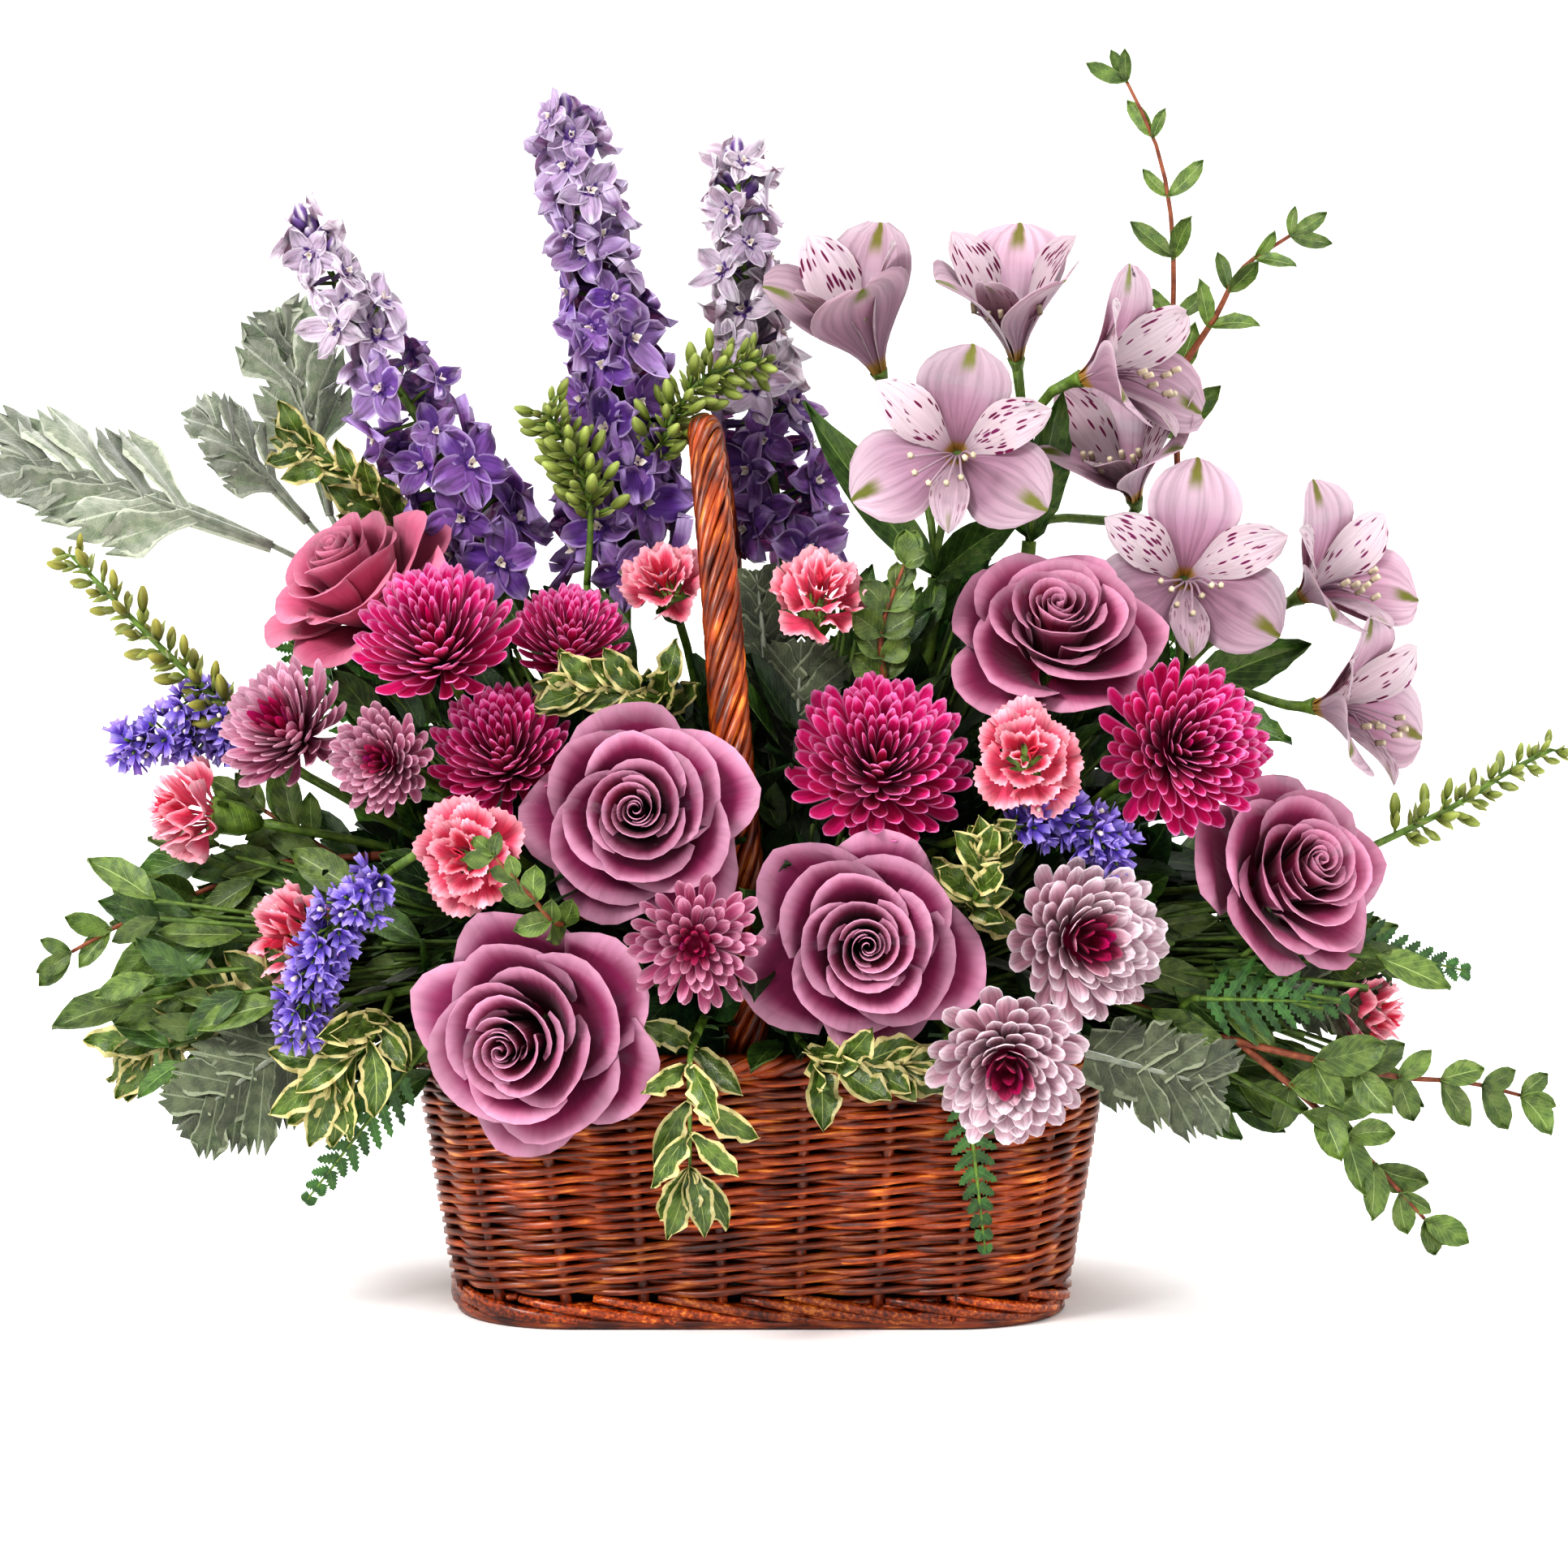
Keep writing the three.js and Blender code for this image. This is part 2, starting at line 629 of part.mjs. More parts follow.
/** A mum head: three tiers of narrow petals round a domed middle, `petals` in each tier. */
function mum(bunch, centre, axis, radius, petals, tiers) {
  const around = 2 * petals;
  const [low, middle, high] = tiers;
  const tier = ([reach, rise], inner, drop, phase) => (step) => (
    (step + phase) % 2 === 0 ? [reach, rise] : [inner, rise - drop]);
  const rings = [
    () => [0, -0.3],
    tier(low, 0.66, 0.06, 0),
    () => [0.52, low[1] + 0.12],
    tier(middle, middle[0] * 0.66, 0.08, 1),
    tier(high, high[0] * 0.5, 0.08, 0),
    () => [0, high[1] - 0.12],
  ];
  bunch.offer(headForms((size) => rosette(around, rings, radius * size), centre, axis));
}

/** A mini carnation: a calyx tube that opens into two tiers of fringed, ruffled petals. */
function carnation(bunch, centre, axis, radius) {
  const ruffle = (reach, rise, swing) => (step) => (
    step % 2 === 0 ? [reach + swing, rise - swing] : [reach - swing, rise + swing]);
  const rings = [
    () => [0, -1.45],
    () => [0.24, -1.4],
    () => [0.3, -0.6],
    ruffle(0.96, -0.02, 0.08),
    ruffle(0.7, 0.16, -0.05),
    ruffle(0.56, 0.5, 0.08),
    () => [0, 0.3],
  ];
  bunch.offer(headForms((size) => rosette(10, rings, radius * size), centre, axis));
}

/** An alstroemeria bloom: a trumpet with three broad outer and three narrow inner petals. */
function alstroemeria(bunch, centre, axis, radius) {
  const rise = (reach) => 0.5 * reach ** 0.7 - 0.42;
  const rim = (step) => {
    const isOuter = Math.floor(step / 4) % 2 === 0;
    const side = isOuter ? 0.82 : 0.66;
    const reach = [0.24, side, 1.02, side][step % 4];
    const shift = [0, -1, 0, 1][step % 4] * (isOuter ? 0.62 : 0.3);
    return [reach, rise(reach) + (isOuter ? 0 : 0.1), shift];
  };
  const neck = (step) => [0.12, -0.5, -(step % 4)];
  const rings = [() => [0, -0.64], neck, rim, () => [0, -0.32]];
  bunch.offer(headForms((size) => rosette(24, rings, radius * size), centre, axis));
}

/** The point where a head's stem ends, a share of its radius behind the middle. */
function headBack(centre, axis, distance) {
  return centre.clone().addScaledVector(axis, -distance);
}

// ---------------------------------------------------------------- sprays and leaves

/** Offers one leaf as asked and, if a neighbour is in its way, turned, tipped or shorter. */
function offerLeaf(bunch, start, direction, face, options) {
  const turned = (angle) => direction.clone().applyAxisAngle(face, angle);
  const across = direction.clone().cross(face).normalize();
  const tipped = (angle) => direction.clone().applyAxisAngle(across, angle);
  const form = (way, size = 1) => () => {
    const scaled = { ...options, length: options.length * size, width: options.width * size };
    return leafBody(scaled).applyMatrix4(leafPlacement(start, way, face.clone().add(vec(0.01, 0.02, 0))));
  };
  bunch.offer([
    form(direction),
    form(turned(0.35)),
    form(turned(-0.35)),
    form(tipped(0.4)),
    form(tipped(-0.4)),
    form(direction, 0.75),
    form(turned(0.7), 0.75),
    form(turned(-0.7), 0.75),
    form(direction, 0.55),
  ]);
}

/**
 * A leafy twig: leaves in pairs or by turns along a stem, each leaning forward from it.
 * `from` is the share of the twig where the first leaf stands.
 */
function leafyTwig(bunch, points, options, seed) {
  const { pairs, from = 0.15, length, width, lean = 0.9, face = FRONT, radius = 1.3 } = options;
  const random = seeded(seed);
  const twig = new THREE.CatmullRomCurve3(points);
  bunch.add(sweep(twig, Math.max(2, Math.round(twig.getLength() / 32)), 3, () => radius));
  for (let i = 0; i < pairs; i += 1) {
    const share = from + ((1 - from) * i) / Math.max(1, pairs - 1);
    const isTip = i === pairs - 1;
    const start = twig.getPointAt(share * 0.98);
    const tangent = twig.getTangentAt(share * 0.98);
    const out = tangent.clone().cross(face).normalize();
    const ways = isTip ? [0] : [1, -1];
    ways.forEach((side) => {
      const sideLean = side * (lean + 0.3 * (random() - 0.5));
      const direction = tangent.clone().multiplyScalar(Math.cos(sideLean)).addScaledVector(out, Math.sin(sideLean));
      direction.addScaledVector(face, 0.5 * (random() - 0.4)).normalize();
      const size = (isTip ? 0.9 : 0.8 + 0.4 * random()) * (1 - 0.25 * share);
      const socket = start.clone().addScaledVector(out, side * radius * 0.2);
      offerLeaf(bunch, socket, direction, face, {
        length: length * size,
        width: width * size,
        rings: options.rings ?? 3,
        belly: options.belly ?? 0.55,
        droop: (options.droop ?? 0.08) * length,
        wave: options.wave ?? 0,
      });
    });
  }
}

/** A cut leaf or frond in one arched blade: lobes on both sides of a midrib, some points to each. */
function lobedBlade({ length, width, lobes, neck, taper, lobe, thickness = 1.2, arch = 0, curl = 0 }) {
  const right = [];
  for (let i = 0; i < lobes; i += 1) {
    for (const [out, share] of lobe) {
      const reach = out === 0 ? neck : out * taper((i + 0.6) / lobes);
      right.push([(width / 2) * reach, ((i + share) / lobes) * length]);
    }
  }
  const outline = [[0, 0], ...right, [0, length], ...right.map(([x, y]) => [-x, y]).reverse()];
  const shape = new THREE.Shape(outline.map(([x, y]) => new THREE.Vector2(x, y)));
  const plate = new THREE.ExtrudeGeometry(shape, { depth: thickness, bevelEnabled: false });
  return reshape(plate, (point) => {
    const along = point.y / length;
    const side = point.x / (width / 2);
    return vec(point.x, point.y, point.z - arch * along * along - curl * side * side);
  });
}

/** A leathery fern frond, its leaflets cut nearly to the rib. */
function fernBlade(length, width, leaflets, arch) {
  const taper = (share) => 0.25 + 0.75 * Math.sin(Math.PI * Math.min(1, 0.18 + 0.8 * share) ** 0.8);
  const lobe = [[0, 0.2], [1, 0.95]];
  return lobedBlade({ length, width, lobes: leaflets, neck: 0.14, taper, lobe, arch });
}

/** A dusty miller leaf, felted and cut into broad round lobes. */
function dustyBlade(length, width, lobes, arch) {
  const taper = (share) => 0.45 + 0.55 * Math.sin(Math.PI * share ** 0.9);
  const lobe = [[0, 0.15], [1, 0.7], [0.85, 1.08]];
  return lobedBlade({
    length, width, lobes, neck: 0.3, taper, lobe, thickness: 1.6, arch, curl: width * 0.06,
  });
}

/** Offers a thin leaf stalk through a middle point, straight or bent up or down past what is there. */
function offerStalk(bunch, start, middle, end) {
  const isStraight = start.distanceTo(middle) < 1;
  const pull = isStraight ? start.clone().lerp(end, 0.5) : middle;
  bunch.offer([0, 8, -8, 16, -16, 26].map((lift) => () => {
    const curve = new THREE.QuadraticBezierCurve3(start, pull.clone().addScaledVector(UP, lift), end);
    return sweep(curve, isStraight && lift === 0 ? 1 : 3, 3, () => 1.5);
  }));
}

/** Adds a flat leaf from a root towards a tip if it is clear, else tipped or smaller. */
function offerBlade(bunch, make, start, tip, face) {
  const direction = tip.clone().sub(start).normalize();
  const across = direction.clone().cross(face).normalize();
  const forms = [[0, 1], [0.25, 1], [-0.25, 1], [0.5, 1], [-0.5, 1], [0, 0.85], [0.4, 0.75], [-0.4, 0.75]];
  const back = start.clone().addScaledVector(direction, -1.5);
  bunch.offer(forms.map(([angle, size]) => () => {
    const way = direction.clone().applyAxisAngle(across, angle);
    return make(size).applyMatrix4(leafPlacement(back, way, face.clone().applyAxisAngle(across, angle)));
  }));
}

/** Buds set by turns along the outer part of a twig, smaller towards the tip. */
function budSpike(bunch, points, count, size, seed) {
  const random = seeded(seed);
  const twig = new THREE.CatmullRomCurve3(points);
  bunch.add(sweep(twig, 3, 3, (share) => 1.5 - 0.5 * share));
  for (let i = 0; i < count; i += 1) {
    const share = 0.12 + (0.88 * i) / (count - 1);
    const start = twig.getPointAt(Math.min(share, 0.99));
    const tangent = twig.getTangentAt(Math.min(share, 0.99));
    const turn = i * GOLDEN_TURN * 1.31;
    const out = UP.clone().cross(tangent).normalize().applyAxisAngle(tangent, turn);
    const direction = out.multiplyScalar(0.8).add(tangent.clone().multiplyScalar(0.7 + 0.3 * random())).normalize();
    offerLeaf(bunch, start, direction, tangent.clone().cross(direction).normalize(), {
      length: size * (1.15 - 0.45 * share),
      width: size * 0.48,
      thickness: size * 0.4,
      rings: 2,
      belly: 0.62,
    });
  }
}

/** A larkspur spike: star-shaped florets that spiral up a stem and grow smaller to the tip. */
function larkspurSpike(bunch, points, count, size) {
  const stem = new THREE.CatmullRomCurve3(points);
  for (let i = 0; i < count; i += 1) {
    const share = i / (count - 1);
    const start = stem.getPointAt(share);
    const tangent = stem.getTangentAt(share);
    const turn = i * GOLDEN_TURN + 0.4;
    const out = FRONT.clone().applyAxisAngle(tangent, turn);
    out.addScaledVector(tangent, -out.dot(tangent)).normalize();
    const isTip = i === count - 1;
    const direction = (isTip ? tangent.clone() : out.addScaledVector(tangent, 0.15 + 0.5 * share)).normalize();
    const grown = size * (1 - 0.42 * share);
    bunch.offer(sizes((scale) => floret(start, direction, grown * 1.15 * scale, grown * scale, 10, 0.62)));
  }
}

/** A statice head: short forked twigs set with small three-sided papery cups. */
function staticeHead(bunch, points, count, size, seed) {
  const random = seeded(seed);
  const twig = new THREE.CatmullRomCurve3(points);
  bunch.add(sweep(twig, 3, 3, () => 2.8));
  for (let i = 0; i < count; i += 1) {
    const share = 0.1 + (0.9 * i) / (count - 1);
    const start = twig.getPointAt(Math.min(share, 0.99));
    const tangent = twig.getTangentAt(Math.min(share, 0.99));
    const out = UP.clone().cross(tangent).normalize().applyAxisAngle(tangent, i * GOLDEN_TURN);
    const direction = out.addScaledVector(tangent, 0.2 + 0.5 * random()).normalize();
    const grown = size * (0.8 + 0.4 * random());
    bunch.offer(sizes((scale) => floret(start, direction, grown * 1.5 * scale, grown * 0.6 * scale, 3, 1)));
  }
}

// ---------------------------------------------------------------- where the blooms stand

// Each row: name, middle of the head, azimuth and elevation that it faces in degrees, radius.
const ROSES = [
  ["rose_low_left", [-75, -125, 114], -15, 0, 39],
  ["rose_low_centre", [36, -111, 143], 3, 5, 36],
  ["rose_centre", [-42, -98, 187], -3, 12, 37],
  ["rose_high_right", [103, -46, 247], 5, 45, 35],
  ["rose_right", [188, -70, 163], 35, 25, 35],
  ["rose_high_left", [-146, -12, 262], -55, 50, 35],
];

// Tiers of a mum: how far out and how high the petal tips of each are, as shares of the radius.
const FULL_MUM = [[1, 0], [0.8, 0.34], [0.46, 0.56]];
const OPEN_MUM = [[1, 0.06], [0.66, 0.26], [0.36, 0.36]];

// Each row: node, colour, tiers, then its heads as middle, azimuth, elevation, radius.
const MUMS = [
  ["mum_magenta_left", "magenta", FULL_MUM, [
    [[-112, -72, 243], -10, 40, 30],
    [[-67, -42, 240], 5, 48, 23],
  ]],
  ["mum_magenta_behind_rose", "magenta", FULL_MUM, [[[-89, -66, 203], -8, 35, 27]]],
  ["mum_magenta_centre", "magenta", FULL_MUM, [[[41, -79, 201], 2, 28, 34]]],
  ["mum_magenta_right", "magenta", FULL_MUM, [[[145, -82, 207], 15, 15, 32]]],
  ["mum_lilac_left", "lilac", OPEN_MUM, [
    [[-166, -50, 211], -30, 30, 26],
    [[-130, -82, 203], -15, 10, 20],
  ]],
  ["mum_lilac_centre", "lilac", OPEN_MUM, [[[-22, -131, 146], 0, 5, 25]]],
  ["mum_lilac_right", "lilac", OPEN_MUM, [
    [[111, -100, 143], 18, 5, 31],
    [[84, -128, 104], 0, -8, 29],
  ]],
];

const CARNATIONS = [
  ["carnation_left", [
    [[-202, -38, 180], -75, 12, 19],
    [[-161, -68, 139], -45, 5, 22],
  ]],
  ["carnation_by_rose", [[[-99, -108, 173], -12, 10, 20.5]]],
  ["carnation_behind_handle", [[[-34, -20, 259], -15, 40, 17]]],
  ["carnation_right_of_handle", [[[21, -45, 257], 10, 40, 19]]],
  ["carnation_by_mum", [[[91, -100, 206], 0, 18, 20.5]]],
  ["carnation_far_right", [[[213, -48, 109], 75, -5, 19]]],
];

// Each umbel: where its stalks part, its blooms as middle, azimuth, elevation, radius, and the
// narrow leaves of its stem as tip and width.
const UMBELS = [
  ["alstroemeria_left", [62, 5, 258], [
    [[37, 22, 343], -35, 62, 28],
    [[68, -24, 307], -5, 14, 37],
  ], [
    [[16, -4, 322], 17],
    [[92, -22, 282], 15],
  ]],
  ["alstroemeria_middle", [96, 18, 270], [
    [[90, 32, 347], 0, 60, 27],
    [[127, -2, 334], 70, 20, 30],
    [[131, 28, 296], -22, 48, 29],
  ], [
    [[108, 16, 324], 17],
    [[76, 30, 316], 14],
  ]],
  ["alstroemeria_right", [150, 8, 215], [
    [[152, -8, 261], 4, 12, 35],
    [[203, 2, 258], 52, 34, 31],
    [[210, -8, 214], 62, 8, 31],
  ], [
    [[198, 22, 233], 18],
    [[188, -16, 202], 16],
  ]],
];

// Each larkspur: node, colour, the points of its spike, the size of its lowest floret.
const LARKSPUR_FLORETS = 9;
const LARKSPURS = [
  ["larkspur_left", "larkspurPale", [[-94, 14, 262], [-112, 12, 298], [-136, 8, 336], [-160, 2, 381]], 17],
  ["larkspur_tall", "larkspur", [[-54, 22, 258], [-50, 22, 310], [-58, 22, 362], [-69, 22, 418]], 21],
  ["larkspur_middle", "larkspurPale", [[8, 58, 262], [2, 58, 305], [-5, 56, 355], [-9, 54, 402]], 18],
];

// Each statice: node, then the points of its one or two twigs.
const STATICE_CUPS = 11;
const STATICE_CUP = 10.5;
const STATICE = [
  ["statice_left", [[-174, -10, 196], [-203, -16, 217]], [[-178, -11, 199], [-202, -10, 204], [-226, -12, 200]]],
  ["statice_low_left", [[-126, -97, 167], [-146, -101, 149], [-159, -95, 113]]],
  ["statice_right", [[84, -88, 180], [106, -90, 184], [122, -92, 172]]],
];

// Buds: the twig's points, how many buds, their length; then side twigs from a point of it.
const BUD_SPRAYS = [
  ["bud_spray_left", [[-62, 0, 256], [-61, -2, 285], [-67, -4, 303], [-76, -6, 318]], 10, 16],
  ["bud_spray_middle", [[-46, 12, 262], [-40, 12, 290], [-33, 12, 312], [-20, 14, 329], [-2, 18, 335]], 10, 16],
  ["bud_spike_left", [[-180, -22, 205], [-197, -20, 221], [-215, -18, 238], [-232, -14, 255], [-244, -10, 267]], 10, 13],
  ["bud_spike_right", [[205, -24, 160], [225, -22, 169], [248, -18, 180], [266, -14, 191], [281, -10, 198]], 9, 12],
];

const EUCALYPTUS_LEAF = { length: 24, width: 13, rings: 2, belly: 0.5, lean: 0.85 };

// Each leafy branch: node, colour, leaf, then twigs as points and pairs of leaves. A later twig
// starts on an earlier one.
const BRANCHES = [
  ["eucalyptus_tall", "eucalyptus", EUCALYPTUS_LEAF, [
    [[[150, 50, 262], [151, 48, 290], [148, 38, 323], [147, 28, 382], [141, 25, 411], [130, 22, 434]], 6, 0.3],
    [[[148, 37, 326], [163, 30, 350], [172, 26, 367], [189, 24, 379]], 4, 0.35],
  ]],
  ["eucalyptus_left", "eucalyptus", EUCALYPTUS_LEAF, [
    [[[-138, -26, 162], [-172, -26, 159], [-198, -32, 150], [-221, -42, 142], [-242, -48, 131]], 6, 0.15],
    [[[-150, -26, 161], [-168, -18, 172], [-182, -14, 180]], 3, 0.4],
  ]],
  ["eucalyptus_right", "eucalyptus", EUCALYPTUS_LEAF, [
    [[[158, -78, 106], [194, -84, 98], [223, -76, 91], [246, -68, 88], [266, -60, 82]], 5, 0.3],
    [[[166, -79, 104], [194, -78, 80], [214, -74, 60], [232, -70, 40]], 5, 0.35],
  ]],
  ["eucalyptus_centre", "eucalyptus", { ...EUCALYPTUS_LEAF, length: 23, width: 16 }, [
    [[[44, -46, 222], [42, -50, 244], [50, -52, 268]], 4, 0.1],
  ]],
  ["eucalyptus_front", "eucalyptus", { ...EUCALYPTUS_LEAF, length: 22, width: 13 }, [
    [[[-64, -94, 150], [-70, -126, 153], [-80, -135, 166], [-90, -137, 177]], 4, 0.35],
  ]],
  ["pittosporum_left", "pittosporum", { length: 30, width: 13, rings: 3, wave: 1.6, lean: 0.75 }, [
    [[[-128, -72, 120], [-146, -71, 117], [-172, -65, 115], [-195, -60, 113], [-213, -52, 98]], 6, 0.3],
    [[[-128, -72, 120], [-134, -92, 108], [-148, -92, 94]], 3, 0.5],
  ]],
  ["pittosporum_front", "pittosporum", { length: 31, width: 13, rings: 3, wave: 1.6, lean: 0.95 }, [
    [[[-22, -96, 109], [-24, -118, 104], [-24, -122, 86], [-24, -121, 68]], 4, 0.25],
  ]],
  ["pittosporum_low_right", "pittosporum", { length: 25, width: 12, rings: 3, wave: 1.5, lean: 0.7 }, [
    [[[14, -92, 106], [24, -109, 101], [48, -110, 101]], 4, 0.3],
  ]],
  ["pittosporum_mid_right", "pittosporum", { length: 24, width: 12, rings: 3, wave: 1.5, lean: 0.8 }, [
    [[[70, -78, 150], [74, -98, 158], [77, -104, 172]], 4, 0.2],
  ]],
  ["pittosporum_centre", "pittosporum", { length: 27, width: 12, rings: 3, wave: 1.5, lean: 0.8 }, [
    [[[-30, -44, 214], [-38, -62, 223], [-61, -67, 226]], 4, 0.1],
  ]],
  ["pittosporum_high_left", "pittosporum", { length: 26, width: 12, rings: 3, wave: 1.5, lean: 0.7 }, [
    [[[-118, 26, 258], [-134, 22, 280], [-146, 14, 294], [-160, 12, 303]], 4, 0.2],
  ]],
  ["pittosporum_back", "pittosporum", { length: 34, width: 16, rings: 3, wave: 1.6, lean: 0.9, face: [0, 1, 0.2] }, [
    [[[-26, 88, 138], [-34, 92, 160], [-54, 92, 190], [-66, 84, 222]], 4, 0.2],
    [[[-26, 88, 138], [6, 95, 156], [36, 94, 186], [50, 84, 220]], 3, 0.3],
  ]],
];

// Flat cut leaves and fronds: node, colour, kind, lobes on a side, arch, then each blade as its
// stalk's start, root, tip, width and the way its face looks.
const BLADES = [
  ["fern_low_left", "fern", "fern", 6, 10, [
    [[-112, -84, 106], [-122, -88, 96], [-158, -86, 48], 30, [0.2, -1, 0.2]],
  ]],
  ["fern_right", "fern", "fern", 6, 10, [
    [[168, -58, 130], [184, -52, 139], [251, -40, 124], 38, [0.1, -1, 0.4]],
    [[146, -78, 116], [152, -84, 120], [204, -78, 118], 40, [0.2, -1, 0.3]],
  ]],
  ["fern_front", "fern", "fern", 6, 6, [
    [[66, -92, 105], [71, -104, 90], [78, -98, 32], 24, [0, -1, 0]],
  ]],
  ["fern_back_left", "fern", "fern", 6, 22, [
    [[-92, 62, 142], [-108, 72, 160], [-176, 78, 232], 56, [-0.2, 1, 0.3]],
    [[-80, 70, 130], [-100, 88, 132], [-178, 96, 128], 56, [-0.1, 1, 0.5]],
  ]],
  ["fern_back_right", "fern", "fern", 6, 22, [
    [[86, 62, 142], [100, 74, 162], [160, 80, 240], 56, [0.2, 1, 0.3]],
    [[80, 70, 130], [102, 88, 132], [182, 94, 130], 56, [0.1, 1, 0.5]],
  ]],
  ["dusty_miller_high_left", "dustyMiller", "dusty", 3, 10, [
    [[-142, 36, 246], [-176, 24, 268], [-266, 4, 308], 50, [0.2, -0.75, 0.6]],
    [[-142, 36, 246], [-164, 34, 276], [-199, 24, 319], 30, [0.6, -0.7, 0.3]],
    [[-142, 36, 246], [-156, 40, 278], [-172, 28, 350], 34, [0.1, -1, 0.2]],
  ]],
  ["dusty_miller_low_left", "dustyMiller", "dusty", 4, 8, [
    [[-130, -62, 122], [-150, -76, 112], [-199, -84, 78], 52, [0.1, -1, 0.35]],
  ]],
  ["dusty_miller_right", "dustyMiller", "dusty", 3, 6, [
    [[104, -76, 117], [112, -98, 103], [158, -100, 92], 44, [0.1, -1, 0.3]],
    [[104, -76, 117], [172, -60, 122], [216, -56, 117], 34, [0.2, -1, 0.5]],
  ]],
  ["dusty_miller_centre", "dustyMiller", "dusty", 3, 6, [
    [[8, -24, 186], [12, -38, 194], [14, -40, 236], 42, [0, -1, 0.2]],
    [[8, -24, 186], [2, -14, 224], [-1, -12, 262], 26, [0.2, -1, 0.2]],
  ]],
];

// ---------------------------------------------------------------- assembly

let foam;

/** A branch from a route to a head that faces along `axis`, from the first clear fork. */
function fork(bunch, route, end, axis, shares, radius = STEM_RADIUS * 0.75) {
  const forms = shares.map((share) => () => {
    const start = route.getPointAt(share);
    const reach = start.distanceTo(end) * 0.4;
    const lead = start.clone().addScaledVector(route.getTangentAt(share), reach);
    const curve = new THREE.CubicBezierCurve3(start, lead, end.clone().addScaledVector(axis, -reach), end);
    return sweep(curve, 3, 3, () => radius);
  });
  bunch.offer(forms);
}

/** A node of one or more heads on one forked stem. */
function headedStem(name, colour, heads, backShare, makeHead) {
  const bunch = new Bunch(name, colour);
  let route;
  heads.forEach(([middle, azimuth, elevation, radius], order) => {
    const centre = vec(middle);
    const axis = facing(azimuth, elevation);
    const back = headBack(centre, axis, backShare * radius);
    if (order === 0) route = root(bunch, [back], axis);
    else fork(bunch, route, back, axis, [0.6, 0.5, 0.7, 0.4, 0.8, 0.3]);
    makeHead(bunch, centre, axis, radius);
  });
  bunch.close();
}

function umbel(name, parting, heads, leaves) {
  const bunch = new Bunch(name, "alstroemeria");
  const stalk = vec(parting);
  root(bunch, [stalk], vec(0, 0, 1), STEM_RADIUS * 1.3);
  heads.forEach(([middle, azimuth, elevation, radius]) => {
    const centre = vec(middle);
    const axis = facing(azimuth, elevation);
    const throat = headBack(centre, axis, radius * 0.42);
    const reach = stalk.distanceTo(throat) * 0.4;
    const lead = stalk.clone().add(vec(0, 0, reach));
    const pedicel = new THREE.CubicBezierCurve3(stalk, lead, throat.clone().addScaledVector(axis, -reach), throat);
    bunch.add(sweep(pedicel, 2, 3, (share) => 1.8 + 1.4 * share ** 3));
    alstroemeria(bunch, centre, axis, radius);
  });
  leaves.forEach(([tip, width]) => {
    const direction = vec(tip).sub(stalk);
    const options = { length: direction.length(), width, rings: 3, belly: 0.45, droop: 3 };
    offerLeaf(bunch, stalk, direction.normalize(), facing(20, 20), options);
  });
  bunch.close();
}

function firstWay(points) {
  return vec(points[1]).sub(vec(points[0])).normalize();
}

function buildBasket() {
  place("basket_base", "willow", toSolid(basketBase()));
  place("foot_border", "willow", toSolid(footBorder()));
  place("basket_wall", "willow", toSolid(basketWall()));
  place("rim_border", "willow", toSolid(rimBorder()));
  place("handle", "willow", toSolid(handle()));
  place("liner", "liner", liner());
  foam = { solid: foamBlock() };
  foam.box = foam.solid.boundingBox();
}

function buildBlooms() {
  for (const [name, ...head] of ROSES) {
    headedStem(name, name === "rose_high_left" ? "rosePink" : "rose", [head], 0.7, rose);
  }
  for (const [name, colour, tiers, heads] of MUMS) {
    headedStem(name, colour, heads, 0.1, (bunch, centre, axis, radius) => {
      mum(bunch, centre, axis, radius, radius > 28 ? 9 : 8, tiers);
    });
  }
  for (const [name, heads] of CARNATIONS) headedStem(name, "coral", heads, 1.3, carnation);
  for (const [name, ...umbelParts] of UMBELS) umbel(name, ...umbelParts);
}

function buildSpikes() {
  BUD_SPRAYS.forEach(([name, points, count, size], seed) => {
    const bunch = new Bunch(name, "bud");
    root(bunch, [vec(points[0])], firstWay(points), 1.8);
    budSpike(bunch, points.map(vec), count, size, seed);
    bunch.close();
  });
  for (const [name, colour, points, size] of LARKSPURS) {
    const bunch = new Bunch(name, colour);
    root(bunch, points.map(vec), firstWay(points), STEM_RADIUS, 24);
    larkspurSpike(bunch, points.map(vec), LARKSPUR_FLORETS, size);
    bunch.close();
  }
  STATICE.forEach(([name, ...twigs], seed) => {
    const bunch = new Bunch(name, "statice");
    root(bunch, [vec(twigs[0][0])], firstWay(twigs[0]));
    const count = Math.round(STATICE_CUPS / twigs.length);
    twigs.forEach((points, order) => {
      staticeHead(bunch, points.map(vec), count, STATICE_CUP, seed + 10 * order);
    });
    bunch.close();
  });
}

